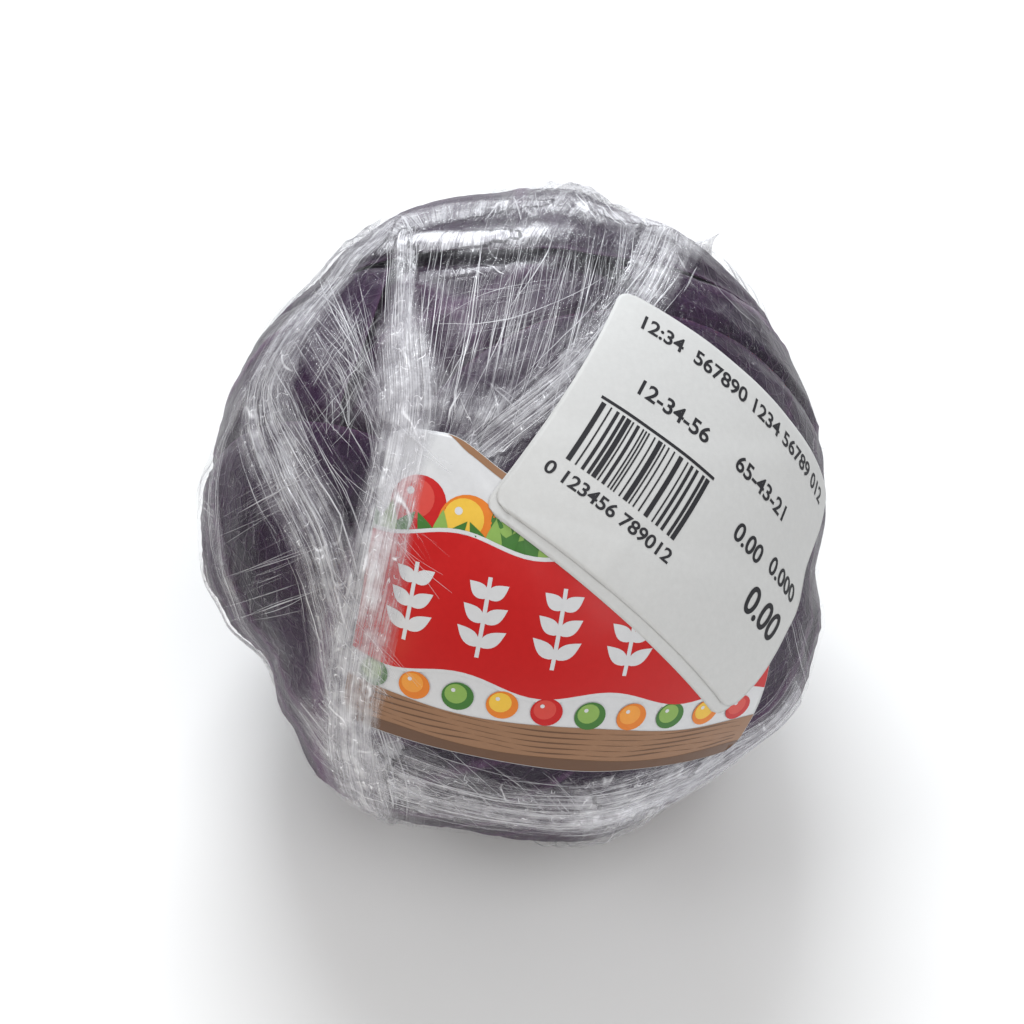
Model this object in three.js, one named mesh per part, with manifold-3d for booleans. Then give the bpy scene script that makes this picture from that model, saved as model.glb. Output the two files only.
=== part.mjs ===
// A head of red cabbage, wrapped in clear stretch film, with three paper stickers on the film.
// Millimetres, +Z up. The head stands on the cut end of its stalk, at z = 0, with the stalk's axis on Z.
// The stickers face -Y and +X.
//
// Everything lies in layers round the head's centre, so a shape is a radius for each direction from
// that centre. A layer is the solid between two radii, and an outline seen from the centre cuts a leaf
// or a sticker out of its layer. All layers share one set of directions, so that they stay parallel.
import * as THREE from "three";
import { mergeVertices } from "three/addons/utils/BufferGeometryUtils.js";
import Module from "manifold-3d";

// The head, measured over its film
const HALF_WIDTH = 63;
const HALF_DEPTH = 66;
const HALF_HEIGHT = 62;
const CENTRE_HEIGHT = 60;

// The outline of the wrapped head, seen from the front and 50 degrees above: angle in degrees, counted
// anticlockwise from the right, and radius.
const OUTLINE_TILT = 50;
const OUTLINE = [
  [0, 62.1], [15, 63.1], [30, 63.5], [45, 64.5], [60, 65.3], [71, 64.3], [80, 65.9], [95, 64.3],
  [110, 64.5], [120, 62.9], [131, 60.7], [145, 61.8], [165, 61.2], [180, 62.4], [191, 62.8],
  [200, 60.7], [211, 57.0], [222, 60.7], [235, 65.1], [245, 64.9], [262, 63.5], [285, 66.3],
  [300, 65.1], [312, 65.3], [325, 67.4], [338, 65.3], [350, 61.1],
];
const RIM_AT = 0.16;
const RIM_SPREAD = 0.45;

// Layers
const GAP = 0.35;
const FILM_THICKNESS = 0.7;
const LEAF_THICKNESS = 1.3;
const VEIN_HEIGHT = 0.5;
const LEAF_PITCH = LEAF_THICKNESS + VEIN_HEIGHT + GAP;
const STICKER_GAP = 0.3;
const STICKER_THICKNESS = 0.4;
const STICKER_PITCH = STICKER_THICKNESS + STICKER_GAP;

// The foot: the film lies flat round the stalk, a little above its cut face
const STALK_RADIUS = 15;
const STALK_TOP = 30;
const STALK_SIDES = 32;
const FILM_FOOT_HEIGHT = 1;
const FOOT_BLEND = 1.5;
const FILM_HOLE_RADIUS = 17;
const LEAF_HOLE_RADIUS = STALK_RADIUS + GAP;

// Wrapper leaves, from the inside out. Each rises from the stalk at its own bearing, seen from above,
// and its midrib runs up the side and over the top. Reach and half width are angles round the centre.
const LEAVES = [
  { bearing: 20, reach: 158, halfWidth: 66 },
  { bearing: 168, reach: 156, halfWidth: 68 },
  { bearing: 298, reach: 172, halfWidth: 70 },
  { bearing: 88, reach: 168, halfWidth: 73 },
  { bearing: 236, reach: 146, halfWidth: 64 },
];
const LEAF_ROOT = 8;
const LEAF_ROOT_HALF_WIDTH = 34;
const LEAF_WIDEST = 0.52;
const EDGE_WAVE = 1.3;
const EDGE_WAVES = 9;
const EDGE_STEPS = 10;

// Veins stand out of a leaf: the midrib along a share of its reach, and pairs of side veins that start
// from the midrib at the given shares, climb by another and spread to a share of the leaf's half width
const MIDRIB_SPAN = [0.13, 0.85];
const MIDRIB_BASE = [8, 2.4];
const SIDE_VEIN_STARTS = [0.22, 0.42];
const SIDE_VEIN_CLIMB = 0.24;
const SIDE_VEIN_BEND = 1.4;
const SIDE_VEIN_SPREAD = 0.66;
const SIDE_VEIN_BASE = [3.6, 1.6];

// Inner leaves, grown tight into the heart: each shows as a step in its surface
const INNER_LEAVES = [
  { bearing: 128, reach: 176, halfWidth: 58 },
  { bearing: 212, reach: 170, halfWidth: 60 },
  { bearing: 330, reach: 150, halfWidth: 55 },
];
const INNER_STEP = 0.9;
const INNER_LEDGE = [0, 9];

// Stickers: where the middle is, how the long side is turned, and size
const PRINTED = { bearing: -76.7, height: 32, roll: -17, width: 78, depth: 57, corner: 4 };
const PRICE = { bearing: -42, height: 42.6, roll: -72.2, width: 63, depth: 51, corner: 3 };
const PRICE_UNDER = { ...PRICE, bearing: -44.6, height: 42.1, roll: -71 };
const STICKER_RADIUS = 63;

// How far past its edge a layer still holds up the ones above it, and where that ends: in degrees for
// leaves, and in millimetres for stickers
const LEAF_LEDGE = [13, 23];
const FILM_LEDGE = [13, 29];
const STICKER_LEDGE = [14, 24];

// Gathered folds in the film, as bearing and height in degrees
const FOLDS = [
  [[92, 10], [94, 36], [104, 58], [125, 76], [215, 80]],
  [[117, 37], [154, 50], [183, 37], [204, 37], [223, 33], [232, 12], [234, -14]],
  [[128, 46], [100, 41], [74, 39], [42, 43]],
  [[52, 28], [44, 6], [40, -22]],
  [[238, -24], [262, -31], [288, -33], [314, -30]],
  [[180, 2], [176, -18], [172, -34]],
];
const FOLD_BASE = [3.8, 3];
const FOLD_HEIGHT = 0.9;
const TAIL = { bearing: 34, height: 42, length: 3.4, radius: 1.5 };

// How deep the base of a vein or a fold lies under the surface it stands on, and its crest at each end
const RIDGE_ROOT = 1.1;
const RIDGE_END = 0.25;
const PATH_STEPS = 200;
const PATH_LEAST = 0.015;

const SPHERE_DETAIL = 5;
const CUTTER_RADIUS = 130;
const CUTTER_DEPTH = -20;
const STICKER_STEP = 8;

const wasm = await Module();
wasm.setup();

const rad = THREE.MathUtils.degToRad;
const deg = THREE.MathUtils.radToDeg;
const clamp = THREE.MathUtils.clamp;
const CENTRE = new THREE.Vector3(0, 0, CENTRE_HEIGHT);
const VIEW = new THREE.Vector3(0, -Math.cos(rad(OUTLINE_TILT)), Math.sin(rad(OUTLINE_TILT)));
const VIEW_UP = new THREE.Vector3(0, Math.sin(rad(OUTLINE_TILT)), Math.cos(rad(OUTLINE_TILT)));

// A unit vector from a bearing, seen from above, and a height above the horizon, in degrees.
function direction(bearing, height) {
  const flat = Math.cos(rad(height));
  return new THREE.Vector3(
    flat * Math.cos(rad(bearing)), flat * Math.sin(rad(bearing)), Math.sin(rad(height)));
}

// 1 up to near, 0 from far on, and a smooth fall between them.
function fall(distance, [near, far]) {
  return 1 - THREE.MathUtils.smoothstep(distance, near, far);
}

function ellipsoidRadius(d) {
  return 1 / Math.hypot(d.x / HALF_WIDTH, d.y / HALF_DEPTH, d.z / HALF_HEIGHT);
}

// The outline's radius at an angle, with a smooth step from each point to the next.
function outlineRadius(angle) {
  const a = THREE.MathUtils.euclideanModulo(angle, 360);
  const next = OUTLINE.findIndex(([at]) => at > a);
  const to = next < 0 ? [360, OUTLINE[0][1]] : OUTLINE[next];
  const from = OUTLINE[(next < 0 ? OUTLINE.length : next) - 1];
  return THREE.MathUtils.lerp(from[1], to[1], THREE.MathUtils.smoothstep(a, from[0], to[0]));
}

// The outside of the film: an ellipsoid drawn in and out to the outline, flat under the head.
function filmRadius(d) {
  const across = d.x;
  const up = d.dot(VIEW_UP);
  const angle = Math.atan2(up, across);
  const rim = new THREE.Vector3(Math.cos(angle), 0, 0).addScaledVector(VIEW_UP, Math.sin(angle));
  const ratio = outlineRadius(deg(angle)) / ellipsoidRadius(rim);
  const nearRim = Math.exp(-(((d.dot(VIEW) - RIM_AT) / RIM_SPREAD) ** 2));
  const round = ellipsoidRadius(d) * (1 + (ratio - 1) * nearRim);
  const flat = (CENTRE_HEIGHT - FILM_FOOT_HEIGHT) / Math.max(-d.z, 1e-3);
  const share = clamp(0.5 + (0.5 * (flat - round)) / FOOT_BLEND, 0, 1);
  return THREE.MathUtils.lerp(flat, round, share) - FOOT_BLEND * share * (1 - share);
}

// A leaf's own directions: along its midrib from the stalk, and sideways from it.
function leafAxes({ bearing }) {
  return { out: direction(bearing, 0), side: direction(bearing + 90, 0) };
}

function leafDirection(leaf, along, across) {
  const { out, side } = leafAxes(leaf);
  const rib = new THREE.Vector3(0, 0, -Math.cos(rad(along))).addScaledVector(out, Math.sin(rad(along)));
  return rib.multiplyScalar(Math.cos(rad(across))).addScaledVector(side, Math.sin(rad(across)));
}

function leafHalfWidth({ halfWidth }, share) {
  const opened = THREE.MathUtils.smoothstep(share, 0, LEAF_WIDEST);
  return THREE.MathUtils.lerp(LEAF_ROOT_HALF_WIDTH, halfWidth, opened);
}

// How far a direction lies outside a leaf's edge, in degrees, below 0 inside it.
function outsideLeaf(leaf, d) {
  const { out, side } = leafAxes(leaf);
  const across = Math.abs(deg(Math.asin(clamp(d.dot(side), -1, 1))));
  const turn = deg(Math.atan2(d.dot(out), -d.z));
  const along = turn < -30 ? turn + 360 : turn;
  const share = along / leaf.reach;
  const beyond = (share - LEAF_WIDEST) / (1 - LEAF_WIDEST);
  const sideways = share < LEAF_WIDEST
    ? across - leafHalfWidth(leaf, share)
    : leaf.halfWidth * (Math.hypot(beyond, across / leaf.halfWidth) - 1);
  return Math.max(sideways, LEAF_ROOT - along);
}

function leavesUnder(d, count, ledge) {
  return LEAVES.slice(0, count).reduce((sum, leaf) => sum + fall(outsideLeaf(leaf, d), ledge), 0);
}

// The layer's radius that the wrapper leaves lie round.
function heartRadius(d) {
  const covered = leavesUnder(d, LEAVES.length, FILM_LEDGE);
  return filmRadius(d) - FILM_THICKNESS - GAP - LEAF_PITCH * covered;
}

function heartSurfaceRadius(d) {
  const bare = INNER_LEAVES.reduce((sum, leaf) => sum + 1 - fall(outsideLeaf(leaf, d), INNER_LEDGE), 0);
  return heartRadius(d) - INNER_STEP * bare;
}

function leafInnerRadius(d, index) {
  return heartRadius(d) + GAP + LEAF_PITCH * leavesUnder(d, index, LEAF_LEDGE);
}

function leafOuterRadius(d, index) {
  return leafInnerRadius(d, index) + LEAF_THICKNESS;
}

// A sticker's own axes: its middle, its long side and its short side.
function stickerAxes({ bearing, height, roll }) {
  const middle = direction(bearing, height);
  const east = direction(bearing + 90, 0);
  const north = new THREE.Vector3().crossVectors(middle, east);
  const right = east.clone().multiplyScalar(Math.cos(rad(roll))).addScaledVector(north, Math.sin(rad(roll)));
  return { middle, right, up: new THREE.Vector3().crossVectors(middle, right) };
}

// The direction of a point of a sticker that is laid on the head without stretching it from its middle.
function stickerDirection(sticker, u, v) {
  const { middle, right, up } = stickerAxes(sticker);
  const turn = Math.hypot(u, v) / STICKER_RADIUS;
  const along = right.multiplyScalar(u).addScaledVector(up, v).normalize();
  return middle.multiplyScalar(Math.cos(turn)).addScaledVector(along, Math.sin(turn));
}

// How far a direction lies outside a sticker's edge, in millimetres, below 0 inside it.
function outsideSticker(sticker, d) {
  const { middle, right, up } = stickerAxes(sticker);
  const turn = Math.acos(clamp(d.dot(middle), -1, 1));
  const scale = (STICKER_RADIUS * turn) / Math.max(Math.sin(turn), 1e-6);
  const u = Math.abs(scale * d.dot(right)) - sticker.width / 2;
  const v = Math.abs(scale * d.dot(up)) - sticker.depth / 2;
  return Math.max(u, v, Math.hypot(Math.max(u, 0), Math.max(v, 0)));
}

function stickerInnerRadius(d, below) {
  const under = below.reduce((sum, other) => sum + fall(outsideSticker(other, d), STICKER_LEDGE), 0);
  return filmRadius(d) + STICKER_GAP + STICKER_PITCH * under;
}

// Solids

function solid(positions, indices) {
  return new wasm.Manifold(new wasm.Mesh({
    numProp: 3,
    vertProperties: new Float32Array(positions),
    triVerts: new Uint32Array(indices),
  }));
}

function solidOf(geometry) {
  const bare = geometry.clone();
  bare.deleteAttribute("normal");
  bare.deleteAttribute("uv");
  const merged = mergeVertices(bare, 1e-4);
  return solid(merged.attributes.position.array, merged.index.array);
}

const SPHERE = (() => {
  const sphere = new THREE.IcosahedronGeometry(1, SPHERE_DETAIL);
  sphere.deleteAttribute("normal");
  sphere.deleteAttribute("uv");
  return mergeVertices(sphere, 1e-4);
})();

// The sphere's faces: their corners, and what turns a direction into its share of each corner
const FACES = (() => {
  const { index, attributes } = SPHERE;
  const corner = (i) =>
    new THREE.Vector3().fromBufferAttribute(attributes.position, index.getX(i)).normalize();
  return Array.from({ length: index.count / 3 }, (_, face) => {
    const corners = [0, 1, 2].map((k) => corner(3 * face + k));
    const basis = new THREE.Matrix4().makeBasis(...corners);
    return { corners, toShares: new THREE.Matrix3().setFromMatrix4(basis).invert() };
  });
})();

function faceIndex(d) {
  return FACES.findIndex(({ toShares }) => Math.min(...d.clone().applyMatrix3(toShares)) > -1e-9);
}

// The radius, in a direction, of the flat face between the three corners of a layer's surface.
function facetedRadius(d, radiusAt) {
  const { corners, toShares } = FACES[faceIndex(d)];
  const shares = d.clone().applyMatrix3(toShares).toArray();
  return 1 / corners.reduce((sum, corner, k) => sum + shares[k] / radiusAt(corner), 0);
}

// The closed body whose surface lies at radiusAt(direction) from the head's centre.
function ball(radiusAt) {
  const positions = [];
  const at = SPHERE.attributes.position;
  for (let i = 0; i < at.count; i += 1) {
    const d = new THREE.Vector3().fromBufferAttribute(at, i).normalize();
    positions.push(...d.multiplyScalar(radiusAt(d.clone())).add(CENTRE));
  }
  return solid(positions, SPHERE.index.array);
}

// The cone from the head's centre through an outline of directions round a middle one.
function cone(outline, middle) {
  const far = (d) => d.clone().multiplyScalar(CUTTER_RADIUS).add(CENTRE);
  const positions = [...CENTRE, ...far(middle)];
  const indices = [];
  outline.forEach((d, i) => {
    positions.push(...far(d));
    const here = i + 2;
    const next = ((i + 1) % outline.length) + 2;
    indices.push(0, next, here, 1, here, next);
  });
  const made = solid(positions, indices);
  return made.volume() < 0 ? solid(positions, indices.reverse()) : made;
}

function upright(radius, bottom, top) {
  const rod = new THREE.CylinderGeometry(radius, radius, top - bottom, STALK_SIDES);
  rod.rotateX(Math.PI / 2);
  rod.translate(0, 0, (bottom + top) / 2);
  return solidOf(rod);
}

// Where a path, followed from 0 to 1, passes from one face to the next, with its two ends.
function facePlaces(path) {
  const places = [0];
  for (let i = 0; i < PATH_STEPS; i += 1) {
    const face = faceIndex(path(i / PATH_STEPS));
    let [low, high] = [i / PATH_STEPS, (i + 1) / PATH_STEPS];
    if (faceIndex(path(high)) === face) continue;
    while (high - low > 1e-4) {
      const middle = (low + high) / 2;
      if (faceIndex(path(middle)) === face) low = middle;
      else high = middle;
    }
    if (high - places.at(-1) > PATH_LEAST && 1 - high > PATH_LEAST) places.push(high);
  }
  return [...places, 1];
}

// A ridge with a three-cornered section that follows a path over the faces of a layer's surface. Its
// base lies well down in the layer, and both its ends run out into the surface. The base's half width
// goes from the first to the second of its two values.
function ridge(path, radiusAt, baseHalfWidth, height) {
  const places = facePlaces(path).map((t) => {
    const d = path(t);
    return { t, d, at: d.clone().multiplyScalar(facetedRadius(d, radiusAt)).add(CENTRE) };
  });
  const last = places.length - 1;
  const positions = [];
  const indices = [];
  places.forEach(({ t, d, at }, i) => {
    const forward = places[Math.min(i + 1, last)].at.clone().sub(places[Math.max(i - 1, 0)].at);
    const sideways = new THREE.Vector3().crossVectors(d, forward).normalize();
    const base = at.clone().addScaledVector(d, -RIDGE_ROOT);
    const crest = i === 0 || i === last ? -RIDGE_END : height;
    const halfWidth = THREE.MathUtils.lerp(...baseHalfWidth, t);
    positions.push(...base.clone().addScaledVector(sideways, halfWidth));
    positions.push(...at.clone().addScaledVector(d, crest));
    positions.push(...base.clone().addScaledVector(sideways, -halfWidth));
  });
  for (let i = 0; i < last; i += 1)
    for (let k = 0; k < 3; k += 1) {
      const [here, next] = [3 * i + k, 3 * i + ((k + 1) % 3)];
      indices.push(here, next, next + 3, here, next + 3, here + 3);
    }
  indices.push(0, 2, 1, 3 * last, 3 * last + 1, 3 * last + 2);
  const made = solid(positions, indices);
  return made.volume() < 0 ? solid(positions, indices.reverse()) : made;
}

function mesh(name, made, material) {
  const { vertProperties, triVerts } = made.getMesh();
  const geometry = new THREE.BufferGeometry();
  geometry.setAttribute("position", new THREE.BufferAttribute(new Float32Array(vertProperties), 3));
  geometry.setIndex(new THREE.BufferAttribute(new Uint32Array(triVerts), 1));
  const faceted = geometry.toNonIndexed();
  faceted.computeVertexNormals();
  const piece = new THREE.Mesh(faceted, material);
  piece.name = name;
  return piece;
}

// Heart: the tight head inside the wrapper leaves, grown in one with its stalk
function heart() {
  return ball(heartSurfaceRadius).add(upright(STALK_RADIUS, 0, STALK_TOP));
}

// Leaves
function leafOutline(leaf) {
  const rootShare = LEAF_ROOT / leaf.reach;
  const wave = (share) => EDGE_WAVE * Math.sin(EDGE_WAVES * Math.PI * share);
  const side = [];
  for (let i = 0; i <= EDGE_STEPS; i += 1) {
    const share = THREE.MathUtils.lerp(rootShare, LEAF_WIDEST, i / EDGE_STEPS);
    side.push([share * leaf.reach, leafHalfWidth(leaf, share) + wave(share)]);
  }
  for (let i = 1; i < EDGE_STEPS; i += 1) {
    const turn = (i / EDGE_STEPS) * (Math.PI / 2);
    const share = LEAF_WIDEST + (1 - LEAF_WIDEST) * Math.sin(turn);
    side.push([share * leaf.reach, (leaf.halfWidth + wave(share)) * Math.cos(turn)]);
  }
  const other = side.map(([along, across]) => [along, -across]).reverse();
  return [...side, [leaf.reach, 0], ...other].map(([along, across]) => leafDirection(leaf, along, across));
}

function midrib(leaf, index) {
  const path = (t) => leafDirection(leaf, leaf.reach * THREE.MathUtils.lerp(...MIDRIB_SPAN, t), 0);
  return ridge(path, (d) => leafOuterRadius(d, index), MIDRIB_BASE, VEIN_HEIGHT);
}

function sideVein(leaf, index, start, side) {
  const spread = SIDE_VEIN_SPREAD * leafHalfWidth(leaf, start);
  const along = (t) => leaf.reach * (start + SIDE_VEIN_CLIMB * t ** SIDE_VEIN_BEND);
  const path = (t) => leafDirection(leaf, along(t), side * spread * t);
  return ridge(path, (d) => leafOuterRadius(d, index), SIDE_VEIN_BASE, VEIN_HEIGHT);
}

function wrapperLeaf(leaf, index) {
  const outside = ball((d) => leafOuterRadius(d, index));
  const inside = ball((d) => leafInnerRadius(d, index));
  const middle = leafDirection(leaf, LEAF_WIDEST * leaf.reach, 0);
  const full = outside.intersect(cone(leafOutline(leaf), middle));
  const sideVeins = SIDE_VEIN_STARTS.flatMap((start) =>
    [1, -1].map((side) => sideVein(leaf, index, start, side)));
  const veined = [midrib(leaf, index), ...sideVeins].reduce((sum, rib) => sum.add(rib), full);
  const stalk = upright(LEAF_HOLE_RADIUS, CUTTER_DEPTH, CENTRE_HEIGHT);
  return veined.subtract(inside).subtract(stalk);
}

// Film
function fold(places) {
  const curve = new THREE.CatmullRomCurve3(places.map(([bearing, height]) => direction(bearing, height)));
  const path = (t) => curve.getPoint(t).normalize();
  return ridge(path, filmRadius, FOLD_BASE, FOLD_HEIGHT);
}

function filmTail() {
  const d = direction(TAIL.bearing, TAIL.height);
  const spike = new THREE.ConeGeometry(TAIL.radius, TAIL.length, 5);
  spike.translate(0, TAIL.length / 2 - RIDGE_ROOT, 0);
  spike.applyQuaternion(new THREE.Quaternion().setFromUnitVectors(new THREE.Vector3(0, 1, 0), d));
  const foot = d.clone().multiplyScalar(filmRadius(d)).add(CENTRE);
  spike.translate(...foot);
  return solidOf(spike);
}

function film() {
  const folded = FOLDS.reduce((sum, places) => sum.add(fold(places)), ball(filmRadius)).add(filmTail());
  const inside = ball((d) => filmRadius(d) - FILM_THICKNESS);
  const stalk = upright(FILM_HOLE_RADIUS, CUTTER_DEPTH, CENTRE_HEIGHT);
  return folded.subtract(inside).subtract(stalk);
}

// Stickers
function stickerOutline(sticker) {
  const shape = new THREE.Shape();
  const [w, h, r] = [sticker.width / 2, sticker.depth / 2, sticker.corner];
  shape.absarc(w - r, h - r, r, 0, Math.PI / 2);
  shape.absarc(r - w, h - r, r, Math.PI / 2, Math.PI);
  shape.absarc(r - w, r - h, r, Math.PI, 1.5 * Math.PI);
  shape.absarc(w - r, r - h, r, 1.5 * Math.PI, 2 * Math.PI);
  const corners = shape.getPoints(4);
  const points = [];
  corners.forEach((from, i) => {
    const to = corners[(i + 1) % corners.length];
    const parts = Math.max(1, Math.round(from.distanceTo(to) / STICKER_STEP));
    for (let k = 0; k < parts; k += 1)
      if (from.distanceTo(to) > 1e-3) points.push(from.clone().lerp(to, k / parts));
  });
  return points.map(({ x, y }) => stickerDirection(sticker, x, y));
}

function stickerSheet(sticker, below) {
  const inside = ball((d) => stickerInnerRadius(d, below));
  const outside = ball((d) => stickerInnerRadius(d, below) + STICKER_THICKNESS);
  const outline = cone(stickerOutline(sticker), stickerAxes(sticker).middle);
  return outside.subtract(inside).intersect(outline);
}

const matt = (color, roughness) => new THREE.MeshStandardMaterial({ color, roughness, metalness: 0 });
const LEAF_PURPLE = matt(0x3d2640, 0.38);
const HEART_PURPLE = matt(0x55305a, 0.4);
const PAPER = matt(0xcfd0cf, 0.7);
const PRINTED_PAPER = matt(0xbf2624, 0.3);
const CLEAR_FILM = new THREE.MeshStandardMaterial({
  color: 0xc4c2c8, roughness: 0.22, metalness: 0, transparent: true, opacity: 0.35,
});

const cabbage = new THREE.Group();
cabbage.add(mesh("heart_with_stalk", heart(), HEART_PURPLE));
LEAVES.forEach((leaf, index) => {
  cabbage.add(mesh(`wrapper_leaf_${index + 1}`, wrapperLeaf(leaf, index), LEAF_PURPLE));
});
cabbage.add(mesh("stretch_film", film(), CLEAR_FILM));
cabbage.add(mesh("sticker_printed", stickerSheet(PRINTED, []), PRINTED_PAPER));
cabbage.add(mesh("sticker_price_under", stickerSheet(PRICE_UNDER, [PRINTED]), PAPER));
cabbage.add(mesh("sticker_price", stickerSheet(PRICE, [PRINTED, PRICE_UNDER]), PAPER));

export default cabbage;
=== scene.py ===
"""A red cabbage head in clear stretch film, with stickers on the film.

Shapes are worked out in millimetres from the head's centre: a layer is a radius for each direction.
Every leaf, the film, its gathered strands and the stickers are layers of that kind, so they lie on
each other. Meshes are made in metres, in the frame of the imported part.
"""
import math

import bpy
import numpy as np
from mathutils import Matrix
from mathutils.geometry import delaunay_2d_cdt

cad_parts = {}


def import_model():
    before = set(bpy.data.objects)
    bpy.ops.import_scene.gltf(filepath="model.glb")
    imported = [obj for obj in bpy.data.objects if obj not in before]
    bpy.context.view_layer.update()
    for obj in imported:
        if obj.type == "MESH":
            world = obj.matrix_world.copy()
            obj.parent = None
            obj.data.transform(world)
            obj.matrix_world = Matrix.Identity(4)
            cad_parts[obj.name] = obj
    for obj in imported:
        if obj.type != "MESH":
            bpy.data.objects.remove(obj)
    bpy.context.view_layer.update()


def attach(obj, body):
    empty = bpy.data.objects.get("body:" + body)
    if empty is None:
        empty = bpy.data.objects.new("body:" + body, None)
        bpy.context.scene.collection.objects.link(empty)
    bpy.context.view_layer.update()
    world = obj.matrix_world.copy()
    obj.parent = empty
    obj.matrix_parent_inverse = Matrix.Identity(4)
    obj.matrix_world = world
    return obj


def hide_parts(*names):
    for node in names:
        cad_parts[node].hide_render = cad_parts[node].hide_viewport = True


MM = 0.001

# The wrapped head
HALF_AXES = np.array([63.0, 66.0, 62.0])
CENTRE = np.array([0.0, 0.0, 60.0])
OUTLINE = np.array([
    (0, 62.1), (15, 63.1), (30, 63.5), (45, 64.5), (60, 65.3), (71, 64.3), (80, 65.9), (95, 64.3),
    (110, 64.5), (120, 62.9), (131, 60.7), (145, 61.8), (165, 61.2), (180, 62.4), (191, 62.8),
    (200, 60.7), (211, 57.0), (222, 60.7), (235, 65.1), (245, 64.9), (262, 63.5), (285, 66.3),
    (300, 65.1), (312, 65.3), (325, 67.4), (338, 65.3), (350, 61.1), (360, 62.1),
])
RIM_AT = 0.16
RIM_SPREAD = 0.45
ROUND = 63.0

# The foot
FILM_FOOT_HEIGHT = 1.0
FOOT_BLEND = 1.5
STALK_RADIUS = 15.0
STALK_TOP = 30.0
STALK_SIDES = 72
FILM_HOLE_RADIUS = 17.0

# Layers
GAP = 0.35
LEAF_THICKNESS = 1.3
VEIN_HEIGHT = 0.5
LEAF_PITCH = LEAF_THICKNESS + VEIN_HEIGHT + GAP
LEAF_LEDGE = (0.0, 3.4)
FILM_TO_LEAF = 0.55
STICKER_LIFT = 0.3
STICKER_THICKNESS = 0.2
STICKER_PITCH = 0.32
STICKER_LEDGE = (0.6, 6.0)
NOISE_CELLS = 32

# Leaves: the bearing of the midrib seen from above, and angles round the centre
WRAPPER_LEAVES = (
    {"bearing": 20, "reach": 158, "half_width": 66},
    {"bearing": 168, "reach": 156, "half_width": 68},
    {"bearing": 298, "reach": 172, "half_width": 70},
    {"bearing": 88, "reach": 168, "half_width": 73},
    {"bearing": 236, "reach": 146, "half_width": 64},
)
INNER_LEAVES = (
    {"bearing": 128, "reach": 176, "half_width": 58},
    {"bearing": 212, "reach": 170, "half_width": 60},
    {"bearing": 330, "reach": 150, "half_width": 55},
)
INNER_STEP = 0.9
INNER_LEDGE = (0.0, 3.0)
LEAF_ROOT = 8.0
LEAF_ROOT_HALF_WIDTH = 34.0
LEAF_WIDEST = 0.52
EDGE_WAVE = 1.3
EDGE_WAVES = 9
SIDE_VEIN_STARTS = (0.14, 0.22, 0.3, 0.38, 0.46, 0.55, 0.64)
SIDE_VEIN_CLIMB = 0.24
SIDE_VEIN_BEND = 1.4
SIDE_VEIN_SPREAD = 0.8

# Stickers
PRINTED = {"bearing": -76.7, "height": 32.0, "roll": -17.0, "width": 78.0, "depth": 57.0, "corner": 4.0}
TOP_DROP = 6.5
TOP_DROP_SPAN = (-29.0, -13.0)
PRICE = {"bearing": -42.0, "height": 42.6, "roll": -72.2, "width": 63.0, "depth": 51.0, "corner": 3.0}
PRICE_UNDER = {**PRICE, "bearing": -44.6, "height": 42.1, "roll": -71.0}

# Creases of the stickers: where each starts and ends on its sticker, and its height
PRINTED_CREASES = (((8, 12), (18, 2), 0.2), ((-30, 28), (-20, 19), 0.14))
PRICE_CREASES = (((-9.0, -12.5), (-9.0, -27.0), 0.16), ((6, 25), (9, 13), 0.07))

# The photograph: its camera, and where the head's centre is in it
VIEW_HEIGHT = 50.0
CAMERA_DISTANCE = 400.0
PHOTO_SIZE = 1024
PHOTO_CENTRE = (514.0, 512.0)
PHOTO_MM_PER_PIXEL = 0.2
SENSOR = 36.0

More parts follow.
